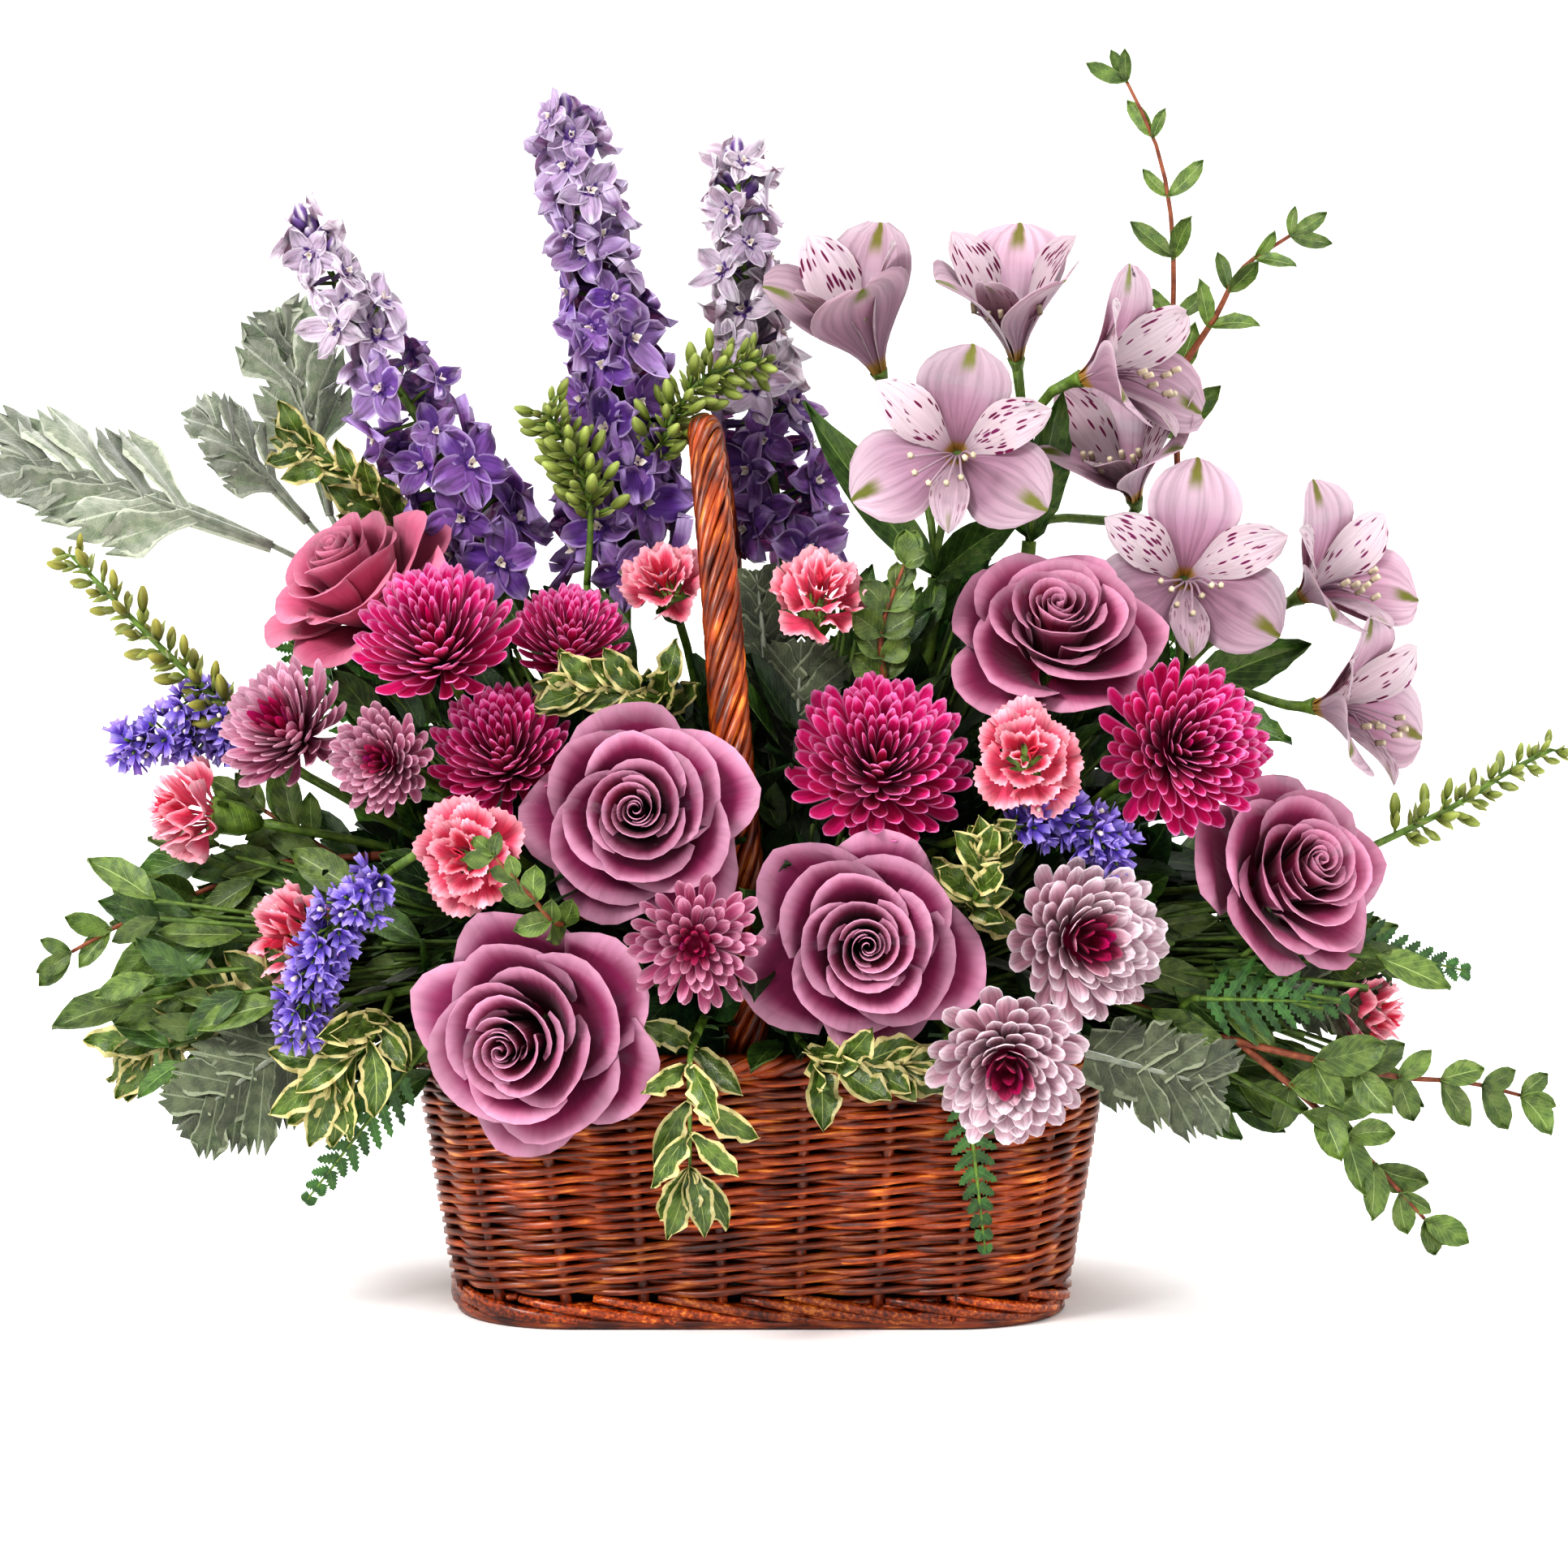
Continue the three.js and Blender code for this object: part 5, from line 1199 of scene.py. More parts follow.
@dataclass
class Mums:
    """Chrysanthemums: many spoon petals in a spiral, flat outside and upright within."""

    looks: Palette
    nodes: tuple[MumNode, ...] = (
        MumNode("mum_magenta_left", MumColour.MAGENTA,
                (Head((-112, -72, 243), -10, 40, 30), Head((-67, -42, 240), 5, 48, 23)), 0.56, 125, 0.185),
        MumNode("mum_magenta_behind_rose", MumColour.MAGENTA, (Head((-89, -66, 203), -8, 35, 27),), 0.56, 125, 0.185),
        MumNode("mum_magenta_centre", MumColour.MAGENTA, (Head((41, -79, 201), 2, 28, 34),), 0.56, 150, 0.17),
        MumNode("mum_magenta_right", MumColour.MAGENTA, (Head((145, -82, 207), 15, 15, 32),), 0.56, 150, 0.17),
        MumNode("mum_lilac_left", MumColour.LILAC,
                (Head((-166, -50, 211), -30, 30, 26), Head((-130, -82, 203), -15, 10, 20)), 0.4, 96, 0.2, 0.2),
        MumNode("mum_lilac_centre", MumColour.LILAC, (Head((-22, -131, 146), 0, 5, 25),), 0.3, 84, 0.17, 0),
        MumNode("mum_lilac_right", MumColour.LILAC,
                (Head((111, -100, 143), 18, 5, 31), Head((84, -128, 104), 0, -8, 29)), 0.34, 92, 0.25, 1),
    )

    def build_head(self, piece: Piece, node: MumNode, head: Head) -> None:
        """Adds one head to a piece.

        Args:
            piece: Piece to add to.
            node: How the node's petals stand.
            head: The head.
        """
        seat = Seat.head(head.centre, head.axis, piece.draw(*ANY_TURN))
        size = head.radius
        for nth in range(node.petals):
            share = nth / (node.petals - 1)
            reach = (1 - share) ** 0.62 * 0.95 + 0.05 + piece.draw(-0.05, 0.05)
            rise = node.dome * sin(pi / 2 * share**0.8) + piece.draw(-0.05, 0.05)
            inner, curl = 0.04 + 0.16 * (1 - share), 0.1 + 0.1 * share
            width = size * node.width * (0.5 + 0.5 * min(1, reach * 1.6)) * piece.draw(0.85, 1.15)
            turn = nth * GOLDEN_TURN + piece.draw(-0.1, 0.1)

            def form(u: float, v: float) -> Vector:
                """Places a point of the petal."""
                v = v**0.8
                out = bend(inner, reach * (0.8 - 0.3 * share), reach, v)
                up = bend(-0.22, rise - 0.2 - 0.12 * share, rise, v) + curl * v**3 - 0.06
                half = width / 2 * (0.4 + 0.6 * smooth(0, 0.7, v)) * rounded(v, 0.72, 0.28, 0.05)
                return seat.ray(turn, out * size, half * u, up * size + 0.55 * half * abs(u) ** 1.6)

            piece.sheet(4, 7, form, 0.4, 0, (piece.draw(), 1 - share, node.tint))
        heart = Route([head.back(0.34), head.back(0.2), head.back(-0.02)])
        piece.rod(heart, lambda t: size * (0.16 + 0.1 * t), 8, 3, 0, (0.2, 0, 0))
        for nth in range(9):
            way = seat.round(nth * 0.7, 1, 0.2) - seat.place
            leaf(piece, seat.at(0, 0, -0.3 * size), way, -head.axis, size * 0.3, 3.4, 1, point=0.9, grid=(2, 3))

    def build(self) -> None:
        """Builds every chrysanthemum node."""
        for order, node in enumerate(self.nodes):
            petal = getattr(self.looks, node.colour.value)
            piece = Piece(f"{node.name}_bloom", 50 + order, petal, self.looks.stem)
            for nth, head in enumerate(node.heads):
                self.build_head(piece, node, head)
                stem_to_foam(piece, head.back(0.3), head.axis, 2, order + 3 * nth)
            piece.finish(node.colour.value, node.name)


@dataclass
class Carnations:
    """Mini carnations: a green tube filled with ruffled, fringed petals."""

    looks: Palette
    petals: int = 17
    nodes: dict[str, tuple[Head, ...]] = field(default_factory=lambda: {
        "carnation_left": (Head((-202, -38, 180), -75, 12, 19), Head((-161, -68, 139), -45, 5, 22)),
        "carnation_by_rose": (Head((-99, -108, 173), -12, 10, 20.5),),
        "carnation_behind_handle": (Head((-34, -20, 259), -15, 40, 17),),
        "carnation_right_of_handle": (Head((21, -45, 257), 10, 40, 19),),
        "carnation_by_mum": (Head((91, -100, 206), 0, 18, 20.5),),
        "carnation_far_right": (Head((213, -48, 109), 75, -5, 19),),
    })

    def build_head(self, piece: Piece, head: Head) -> None:
        """Adds one head to a piece.

        Args:
            piece: Piece to add to.
            head: The head.
        """
        seat = Seat.head(head.centre, head.axis, piece.draw(*ANY_TURN))
        size = head.radius
        for nth in range(self.petals):
            share = nth / (self.petals - 1)
            turn = nth * GOLDEN_TURN + piece.draw(-0.2, 0.2)
            reach = 0.98 * (1 - share) ** 0.7 + 0.1
            rise = 0.55 * sin(pi / 2 * share) + 0.02
            half = 0.8 - 0.2 * share
            waves, phase, height = piece.draw(1.2, 2.2), piece.draw(*ANY_TURN), piece.draw(0.14, 0.23)

            def form(u: float, v: float) -> Vector:
                """Places a point of the ruffled petal."""
                fan = smooth(0.25, 0.95, v)
                angle = turn + u * half * (0.12 + 0.88 * fan) / (0.45 + 0.75 * reach)
                fringe = 0.022 * cos(10 * pi * u) if v > 0.99 else 0.0
                ruffle = height * sin(waves * pi * u + phase) * fan**1.2
                out = bend(0.1, reach * 0.5, reach, v) + 0.45 * ruffle * (1.1 - reach) + fringe * (0.3 + 0.7 * reach)
                out -= 0.16 * abs(u) ** 2.2 * v * reach
                up = bend(-0.7, rise - 0.3, rise, v) + ruffle * (0.35 + 0.65 * reach)
                up = up + fringe * (1 - reach) - 0.16 * fan * reach**2
                return seat.round(angle, out * size, up * size)

            piece.sheet(20, 7, form, 0.35, 0, (piece.draw(), 1 - share, 0))
        tube = Route([head.back(1.42), head.back(1.3), head.back(0.9), head.back(0.45)])
        piece.rod(tube, lambda t: size * (0.13 + 0.16 * min(1, 3 * t) + 0.06 * t), 10, 8, 1)
        for nth in range(5):
            way = seat.round(nth * 1.257, 0.5, 0.6) - seat.place
            spot = seat.round(nth * 1.257, 0.26 * size, -0.72 * size)
            leaf(piece, spot, way, -way, size * 0.34, 4, 1, grid=(2, 3))

    def build(self) -> None:
        """Builds every carnation node."""
        for order, (name, heads) in enumerate(self.nodes.items()):
            piece = Piece(f"{name}_bloom", 70 + order, self.looks.carnation, self.looks.stem)
            for nth, head in enumerate(heads):
                self.build_head(piece, head)
                stem_to_foam(piece, head.back(1.38), head.axis, 1.7, order + 4 * nth)
            piece.finish("carnation_coral", name)


@dataclass(frozen=True)
class Umbel:
    """An alstroemeria stem: where it parts, its heads, and its leaves as tip and width."""

    parting: Point
    heads: tuple[Head, ...]
    leaves: tuple[tuple[Point, float], ...]


@dataclass
class Alstroemerias:
    """Alstroemerias: trumpets of three broad tepals tipped with green and three narrow flecked ones."""

    looks: Palette
    umbels: dict[str, Umbel] = field(default_factory=lambda: {
        "alstroemeria_left": Umbel(
            (62, 5, 258), (Head((37, 22, 343), -40, 58, 33, 0.55), Head((68, -24, 307), -5, 14, 38)),
            (((16, -4, 322), 17), ((92, -22, 282), 15))),
        "alstroemeria_middle": Umbel(
            (96, 18, 270), (Head((90, 32, 347), -15, 62, 32, 0.6), Head((127, -2, 334), 62, 18, 35, 0.85),
             Head((131, 28, 296), -22, 52, 34, 0.7)),
            (((108, 16, 324), 17), ((76, 30, 316), 14))),
        "alstroemeria_right": Umbel(
            (150, 8, 215), (Head((152, -8, 261), 4, 14, 38), Head((203, 2, 258), 50, 28, 33, 0.85),
             Head((210, -8, 214), 58, 6, 33, 0.85)),
            (((198, 22, 233), 18), ((188, -16, 202), 16))),
    })

    def build_head(self, piece: Piece, head: Head) -> None:
        """Adds one bloom to a piece.

        Args:
            piece: Piece to add to.
            head: The bloom.
        """
        seat = Seat.head(head.centre, head.axis, piece.draw(-0.12, 0.12))
        size, closed = head.radius, 1 - head.opening
        for nth in range(6):
            outer, lower = nth % 2 == 0, nth == 3
            turn = pi / 2 + nth * pi / 3
            width = size * (0.9 if outer else 0.38 if lower else 0.48) * (1 + 0.8 * closed)
            length = (1.02 if outer else 0.86 if lower else 0.98) * (1 + 0.9 * closed)
            lift, twist, phase = (0 if outer else 0.1), piece.draw(-0.1, 0.1), piece.draw(*ANY_TURN)
            open_out = piece.draw(0.92, 1.04)
            neck, belly, tip = (0.14, 0.66, (0.345, 0.06)) if outer else (0.2, 0.6, (0.4, 0.03, 1.8))

            def form(u: float, v: float) -> Vector:
                """Places a point of the tepal."""
                out = bend(0.05, 0.34 * head.opening, length * open_out * head.opening, v)
                up = bend(-0.44, 0.06 + 0.7 * closed, 0.1 + 1.9 * closed, v) + lift * v - 0.1 * max(0, v - 0.7)
                half = width / 2 * (neck + (1 - neck) * smooth(0, belly, v)) * rounded(v, belly, *tip)
                notch = 0.03 * size * v**6 * (1 - abs(u))
                cup = 0.2 * half * u * u - 0.25 * half * abs(u) * (0.4 if outer else 1) * (1 - v)
                wave = 0.035 * size * sin(2.6 * v * pi + phase) * abs(u) * v
                return seat.ray(turn + twist * v, out * size + notch, half * u, up * size + cup + wave)

            piece.sheet(8, 12, form, 0.4, 0, (piece.draw(), 1, 0 if outer else 0.5 if lower else 1))
        for nth in range(7):
            turn = -pi / 2 + (nth - 3) * 0.36
            reach, rise = piece.draw(0.22, 0.46), piece.draw(0.22, 0.4)
            tip = seat.round(turn, reach * size, rise * size)
            marks = [seat.round(turn, 0.03 * size, -0.4 * size), seat.round(turn + 0.2, 0.12 * size, 0), tip]
            piece.rod(Route(marks), lambda t: 0.62 - 0.2 * t, 5, 6, 0, (0.4, 1, 0.3))
            piece.rod([tip, tip + head.axis * 3.6], 1.15, 5, 3, 3, (piece.draw(), 1, 0))
        piece.rod([head.back(0.62), head.back(0.54), head.back(0.45)], lambda t: 1.8 + 1.6 * t, 8, 4, 1)

    def build(self) -> None:
        """Builds every umbel."""
        looks = (self.looks.alstroemeria, self.looks.stem, self.looks.leaf, self.looks.anther)
        for order, (name, umbel) in enumerate(self.umbels.items()):
            piece = Piece(f"{name}_bloom", 80 + order, *looks)
            stalk = Vector(umbel.parting)
            stem_to_foam(piece, stalk, UP, 2.9, order)
            for head in umbel.heads:
                self.build_head(piece, head)
                throat = head.back(0.58)
                reach = (throat - stalk).length * 0.4
                route = Route.swung(stalk, stalk + UP * reach, throat - head.axis * reach, throat)
                piece.rod(route, lambda t: 1.6 + 0.6 * t**3, 6, 8, 1)
            for tip, width in umbel.leaves:
                way, look = Vector(tip) - stalk, {"wave": 1, "grid": (6, 12), "point": 0.9}
                leaf(piece, stalk, way, facing(20, 20), way.length, width, 2, 0.45, 0.05, **look)
            piece.finish("alstroemeria", name)


@dataclass(frozen=True)
class Spike:
    """A larkspur spike: its stem, floret size, slot, and tints at the foot, middle and top."""

    points: tuple[Point, ...]
    size: float
    slot: str
    tints: tuple[float, float, float]
    florets: int


@dataclass
class Larkspurs:
    """Larkspurs: open florets in a spiral, with a spur behind each and buds at the tip."""

    looks: Palette
    spikes: dict[str, Spike] = field(default_factory=lambda: {
        "larkspur_left": Spike(
            ((-94, 14, 262), (-112, 12, 298), (-136, 8, 336), (-160, 2, 381)),
            18, "larkspur_pale", (0, 0.1, 0.85), 34),
        "larkspur_tall": Spike(
            ((-54, 22, 258), (-50, 22, 310), (-58, 22, 362), (-69, 22, 418)),
            19, "larkspur_violet", (0, 0.05, 0.45), 58),
        "larkspur_middle": Spike(
            ((8, 58, 262), (2, 58, 305), (-5, 56, 355), (-9, 54, 402)), 18, "larkspur_pale", (0, 1, 0.8), 44),
    })

    def floret(self, piece: Piece, spot: Vector, way: Vector, size: float, tint: float) -> None:
        """Adds one floret: five waved sepals, a pale eye and a spur.

        Args:
            piece: Piece to add to.
            spot: Middle of the floret.
            way: The way it faces.
            size: Length of a sepal.
            tint: 0 for violet, 1 for lilac.
        """
        seat = Seat.head(spot, way, piece.draw(*ANY_TURN))
        for nth in range(5):
            turn = nth * tau / 5 + piece.draw(-0.12, 0.12)
            long, wide, tip = size * piece.draw(0.82, 1.12), size * piece.draw(0.66, 0.9), piece.draw(-0.3, 0.6)
            phase = piece.draw(*ANY_TURN)

            def form(u: float, v: float) -> Vector:
                """Places a point of the sepal."""
                half = wide / 2 * (0.25 + 0.75 * sin(pi * min(1, 0.12 + 0.85 * v)) ** 0.7) * (0.25 if v > 0.99 else 1)
                up = size * (bend(0, 0.12, tip, v) + 0.2 * sin(4.2 * u + phase) * v) + 0.25 * half * u * u
                return seat.ray(turn, 0.06 * size + v * long, half * u, up)

            piece.sheet(4, 5, form, 0.35, 0, (piece.draw(), max(min(1, 1.6 * tint), 0.3 + 0.7 * piece.draw()), tint))
        for nth in range(3):
            way_out = seat.round(nth * 2.1 + piece.draw(), 0.4, 1) - seat.place
            spot = seat.at(0, 0, 0.02 * size)
            leaf(piece, spot, way_out, seat.out, size * 0.3, size * 0.16, 2, 0.6, 0.2, grid=(2, 3))
        spur = Route([seat.at(0, y * size, z * size) for y, z in ((0, 0.1), (-0.1, -0.5), (0.2, -0.95))])
        piece.rod(spur, lambda t: size * (0.14 - 0.1 * t), 5, 4, 0, (piece.draw(), 0.5, tint))

    def build(self) -> None:
        """Builds every spike."""
        for order, (name, spike) in enumerate(self.spikes.items()):
            piece = Piece(f"{name}_spike", 90 + order, self.looks.larkspur, self.looks.stem, self.looks.bee)
            stem = Route(spike.points)
            piece.rod(stem, lambda t: 2.3 - 1.3 * t, 6, 10, 1)
            stem_to_foam(piece, stem.at(0), stem.way(0), 2.3, order)
            for nth in range(spike.florets):
                share = min(1, max(0, (nth + piece.draw(-0.8, 0.8)) / (spike.florets - 1)))
                way = stem.way(share)
                out = FRONT - way * FRONT.dot(way)
                out = spoke(out.normalized(), way, nth * GOLDEN_TURN + piece.draw(0.1, 0.7))
                heading = (out + way * piece.draw(-0.1, 0.25 + 0.6 * share)).normalized()
                size = spike.size * (0.82 - 0.26 * share) * piece.draw(0.78, 1.15)
                tint = spike.tints[0] + (spike.tints[1] - spike.tints[0]) * smooth(0.3, 0.5, share)
                tint += (spike.tints[2] - spike.tints[1]) * smooth(0.5, 0.78, share) + piece.draw(-0.14, 0.14)
                spot = stem.at(share) + heading * spike.size * (0.92 - 0.5 * share) * piece.draw(0.6, 1.25)
                piece.rod([stem.at(max(0, share - 0.02)), spot - heading * size * 0.1], 0.7, 4, 2, 1)
                self.floret(piece, spot, heading, size, min(1, max(0, tint)))
            for nth in range(6):
                share = 0.9 + 0.1 * nth / 5
                out = stem.way(share) + 0.7 * Vector((cos(2.4 * nth), sin(2.4 * nth), 0)) * (1 - nth / 6)
                bud = stem.at(share) + out.normalized() * 4
                route = Route([bud, bud + out.normalized() * spike.size * 0.42])
                marks = (piece.draw(), 0.4, spike.tints[2])
                piece.rod(route, lambda t: spike.size * 0.15 * sin(pi * (0.15 + 0.75 * t)), 6, 5, 0, marks)
            piece.finish(spike.slot, name)


@dataclass
class Statices:
    """Statice: forked twigs crowded with small papery cups."""

    looks: Palette
    cups: int = 54
    cup: float = 4.6
    twigs: dict[str, tuple[tuple[Point, ...], ...]] = field(default_factory=lambda: {
        "statice_left": (((-174, -10, 196), (-203, -16, 217)), ((-178, -11, 199), (-202, -10, 204), (-226, -12, 200))),
        "statice_low_left": (((-126, -97, 167), (-146, -101, 149), (-159, -95, 113)),),
        "statice_right": (((84, -88, 180), (106, -90, 184), (122, -92, 172)),),
    })

    def add_cup(self, piece: Piece, seat: Seat) -> None:
        """Adds one papery cup of five calyx lobes.

        Args:
            piece: Piece to add to.
            seat: Seat of the cup.
        """
        size = self.cup * piece.draw(0.8, 1.25)
        for nth in range(5):
            turn = nth * 1.2566

            def form(u: float, v: float) -> Vector:
                """Places a point of the lobe."""
                half = size * (0.1 + 0.45 * v) * (0.9 if v < 0.99 else 0.6)
                rise = size * (-0.6 + 0.9 * v) + 0.1 * size * abs(u)
                return seat.ray(turn, size * (0.08 + 0.9 * v), half * u, rise)

            piece.sheet(2, 2, form, 0.3, 0, (piece.draw(), piece.draw(), 0))

    def build(self) -> None:
        """Builds every node."""
        for order, (name, twigs) in enumerate(self.twigs.items()):
            piece = Piece(f"{name}_spray", 100 + order, self.looks.statice, self.looks.stem, self.looks.bee)
            start = Vector(twigs[0][0])
            stem_to_foam(piece, start, Vector(twigs[0][1]) - start, 1.8, order)
            for twig in map(Route, twigs):
                piece.rod(twig, lambda t: 1.5 - 0.5 * t, 5, 6, 1)
                count = round(self.cups * twig.length / 48)
                for nth in range(count):
                    share = 0.06 + 0.94 * nth / (count - 1)
                    way = twig.way(share)
                    base = UP if abs(way.z) < 0.9 else FRONT
                    out = spoke(base.cross(way).normalized(), way, nth * GOLDEN_TURN)
                    heading = (out + way * piece.draw(0.2, 0.8)).normalized()
                    spot = twig.at(share) + heading * piece.draw(4.5, 11.5)
                    piece.rod([twig.at(share), spot], 0.5, 4, 1, 1)
                    seat = Seat.head(spot, heading, piece.draw(0, 6))
                    self.add_cup(piece, seat)
                    if nth % 3 == 0:
                        piece.rod([seat.at(0, 0, -1), seat.at(0, 0, 1.4)], 0.9, 5, 2, 2)
            piece.finish("statice", name)


@dataclass(frozen=True)
class BudStalk:
    """A stalk of green buds: its route, bud count and length, tint, and share where the buds start."""

    points: tuple[Point, ...]
    count: int
    size: float
    tint: float
    start: float
    spread: float


@dataclass
class BudStalks:
    """Stalks of unopened larkspur and green bracts, chartreuse or browned."""

    looks: Palette
    stalks: dict[str, BudStalk] = field(default_factory=lambda: {
        "bud_spray_left": BudStalk(
            ((-62, 0, 256), (-61, -2, 285), (-67, -4, 303), (-76, -6, 318)), 44, 9, 0, 0.35, 1.3),
        "bud_spray_middle": BudStalk(
            ((-46, 12, 262), (-40, 12, 290), (-33, 12, 312), (-20, 14, 329), (-2, 18, 335)), 50, 9, 0, 0.4, 1.3),
        "bud_spike_left": BudStalk(
            ((-180, -22, 205), (-197, -20, 221), (-215, -18, 238), (-232, -14, 255), (-244, -10, 267)),
            32, 8.6, 0.75, 0.1, 0.75),
        "bud_spike_right": BudStalk(
            ((205, -24, 160), (225, -22, 169), (248, -18, 180), (266, -14, 191), (281, -10, 198)),
            28, 8, 0.1, 0.25, 0.75),
    })

    def build(self) -> None:
        """Builds every stalk."""
        for order, (name, stalk) in enumerate(self.stalks.items()):
            piece = Piece(f"{name}_stalk", 110 + order, self.looks.bud, self.looks.stem)
            twig = Route(stalk.points)
            piece.rod(twig, lambda t: 1.5 - 0.7 * t, 6, 12, 1)
            stem_to_foam(piece, twig.at(0), twig.way(0), 1.5, order)
            for nth in range(stalk.count):
                share = stalk.start + (1 - stalk.start) * nth / (stalk.count - 1)
                way, foot = twig.way(share), twig.at(share)
                out = spoke(FRONT.cross(way).normalized(), way, nth * GOLDEN_TURN)
                heading = (out * 0.9 + way * piece.draw(0.4, 0.9)).normalized()
                size = stalk.size * (1.1 - 0.35 * share) * piece.draw(0.8, 1.15)
                neck = foot + heading * size * piece.draw(0.5, 1) * stalk.spread
                piece.rod([foot, neck], 0.5, 4, 2, 1)
                route = Route([neck, neck + heading * size * 0.5, neck + heading * size + UP * 0.6])
                marks = (piece.draw(), 1, stalk.tint)
                piece.rod(route, lambda t: size * 0.25 * sin(pi * (0.1 + 0.82 * t)) ** 0.8, 6, 6, 0, marks)
                for bract in range(2):
                    way_out = heading * 0.7 + out.cross(heading) * (bract - 0.5) * 1.6
                    leaf(piece, foot + heading * 1.5, way_out, heading, size, size * 0.3, 0, grid=(2, 3))
            piece.finish("green_buds", name)


# ---- foliage


@dataclass(frozen=True)
class Twig:
    """A leafy twig: its points, pairs of leaves, and the share where the first pair stands."""

    points: tuple[Point, ...]
    pairs: int
    start: float


@dataclass(frozen=True)
class Branch:
    """A branch of one or two twigs, with its leaves' size and lean."""

    name: str
    twigs: tuple[Twig, ...]
    length: float
    width: float
    lean: float = 0.85
    face: Point = (0, -1, 0)


@dataclass
class LeafyBranches:
    """Small-leaved eucalyptus and variegated pittosporum."""

    looks: Palette
    # how far a leaf may turn to the back
    most_back: float = 0.1
    branches: tuple[Branch, ...] = (
        Branch("eucalyptus_tall", (
            Twig(((150, 50, 262), (151, 48, 290), (148, 38, 323), (147, 28, 382), (141, 25, 411), (130, 22, 434)),
                 7, 0.25),
            Twig(((148, 37, 326), (163, 30, 350), (172, 26, 367), (189, 24, 379)), 4, 0.35)), 25, 9),
        Branch("eucalyptus_left", (
            Twig(((-138, -26, 162), (-172, -26, 159), (-198, -32, 150), (-221, -42, 142), (-242, -48, 131)), 7, 0.15),
            Twig(((-150, -26, 161), (-168, -18, 172), (-182, -14, 180)), 5, 0.3)), 26, 12),
        Branch("eucalyptus_right", (
            Twig(((158, -78, 106), (194, -84, 98), (223, -76, 91), (246, -68, 88), (266, -60, 82)), 6, 0.3),
            Twig(((166, -79, 104), (194, -78, 80), (214, -74, 60), (232, -70, 40)), 6, 0.25)), 27, 15),
        Branch("eucalyptus_centre", (Twig(((44, -46, 222), (42, -50, 244), (50, -52, 268)), 6, 0.1),), 19, 14),
        Branch("eucalyptus_front", (
            Twig(((-64, -94, 150), (-70, -126, 153), (-80, -135, 166), (-90, -137, 177)), 5, 0.35),), 19, 12),
        Branch("pittosporum_left", (
            Twig(((-128, -72, 120), (-146, -71, 117), (-172, -65, 115), (-195, -60, 113), (-213, -52, 98)), 9, 0.2),
            Twig(((-128, -72, 120), (-134, -92, 108), (-148, -92, 94)), 6, 0.3)), 30, 13, 0.75),
        Branch("pittosporum_front", (
            Twig(((-22, -96, 109), (-24, -118, 104), (-24, -122, 86), (-24, -121, 68)), 5, 0.2),), 31, 11.5, 1),
        Branch("pittosporum_low_right", (
            Twig(((14, -92, 106), (24, -109, 101), (48, -110, 101)), 6, 0.2),), 25, 12, 0.7),
        Branch("pittosporum_mid_right", (
            Twig(((70, -78, 150), (74, -98, 158), (77, -104, 172)), 6, 0.2),), 24, 12, 0.8),
        Branch("pittosporum_centre", (
            Twig(((-30, -44, 214), (-38, -62, 223), (-61, -67, 226)), 7, 0.1),), 27, 12, 0.8),
        Branch("pittosporum_high_left", (
            Twig(((-118, 26, 258), (-134, 22, 280), (-146, 14, 294), (-160, 12, 303)), 7, 0.1),), 26, 12, 0.7),
        Branch("pittosporum_back", (
            Twig(((-26, 88, 138), (-34, 92, 160), (-54, 92, 190), (-66, 84, 222)), 8, 0.1),
            Twig(((-26, 88, 138), (6, 95, 156), (36, 94, 186), (50, 84, 220)), 8, 0.1)), 32, 15, 0.9, (0, 1, 0.2)),
    )

    def build(self) -> None:
        """Builds every branch."""
        for order, branch in enumerate(self.branches):
            waxy = branch.name.startswith("eucalyptus")
            blade = self.looks.eucalyptus if waxy else self.looks.pittosporum
            wood = self.looks.twig if waxy else self.looks.stem
            piece = Piece(f"{branch.name}_twigs", 120 + order, blade, wood)
            look = {"belly": 0.52, "wave": 0.3, "grid": (4, 6), "point": 0.62}
            if not waxy:
                look = {"belly": 0.55, "wave": 1.8, "grid": (6, 12)}
            face = Vector(branch.face).normalized()
            first = Route(branch.twigs[0].points)
            stem_to_foam(piece, first.at(0), first.way(0), 1.7, order)
            for twig in branch.twigs:
                route = Route(twig.points)
                piece.rod(route, lambda t: 1.45 - 0.8 * t, 6, 14, 1)
                for nth in range(twig.pairs):
                    share = twig.start + (1 - twig.start) * nth / (twig.pairs - 1)
                    way = route.way(share)
                    side = way.cross(face).normalized()
                    if nth % 2:
                        side = (side + 0.55 * face).normalized()
                    ends = (1, -1, 0) if waxy else (1, 0.45, -0.1, -0.6, -1.1)
                    for hand in (1, -1) if nth < twig.pairs - 1 else ends:
                        lean = hand * (branch.lean * (1 - 0.3 * share) + piece.draw(-0.4, 0.4))
                        heading = way * cos(lean) + side * sin(lean) + face * piece.draw(-0.3, 0.55)
                        heading.y = min(heading.y, self.most_back)
                        size = piece.draw(0.7, 1.12) * (1 - (0.4 if waxy else 0.2) * share)
                        looks = face + way * piece.draw(0, 0.5) + UP * piece.draw(-0.2, 0.6)
                        looks += side * piece.draw(-0.35, 0.35)
                        leaf(piece, route.at(share), heading, looks, branch.length * size, branch.width * size, 0,
                             droop=piece.draw(0.02, 0.22), **look)
            piece.finish("eucalyptus" if waxy else "pittosporum", branch.name)


class Cut(Enum):
    """How a cut leaf is made."""

    FERN = "fern"
    DUSTY = "dusty_miller"


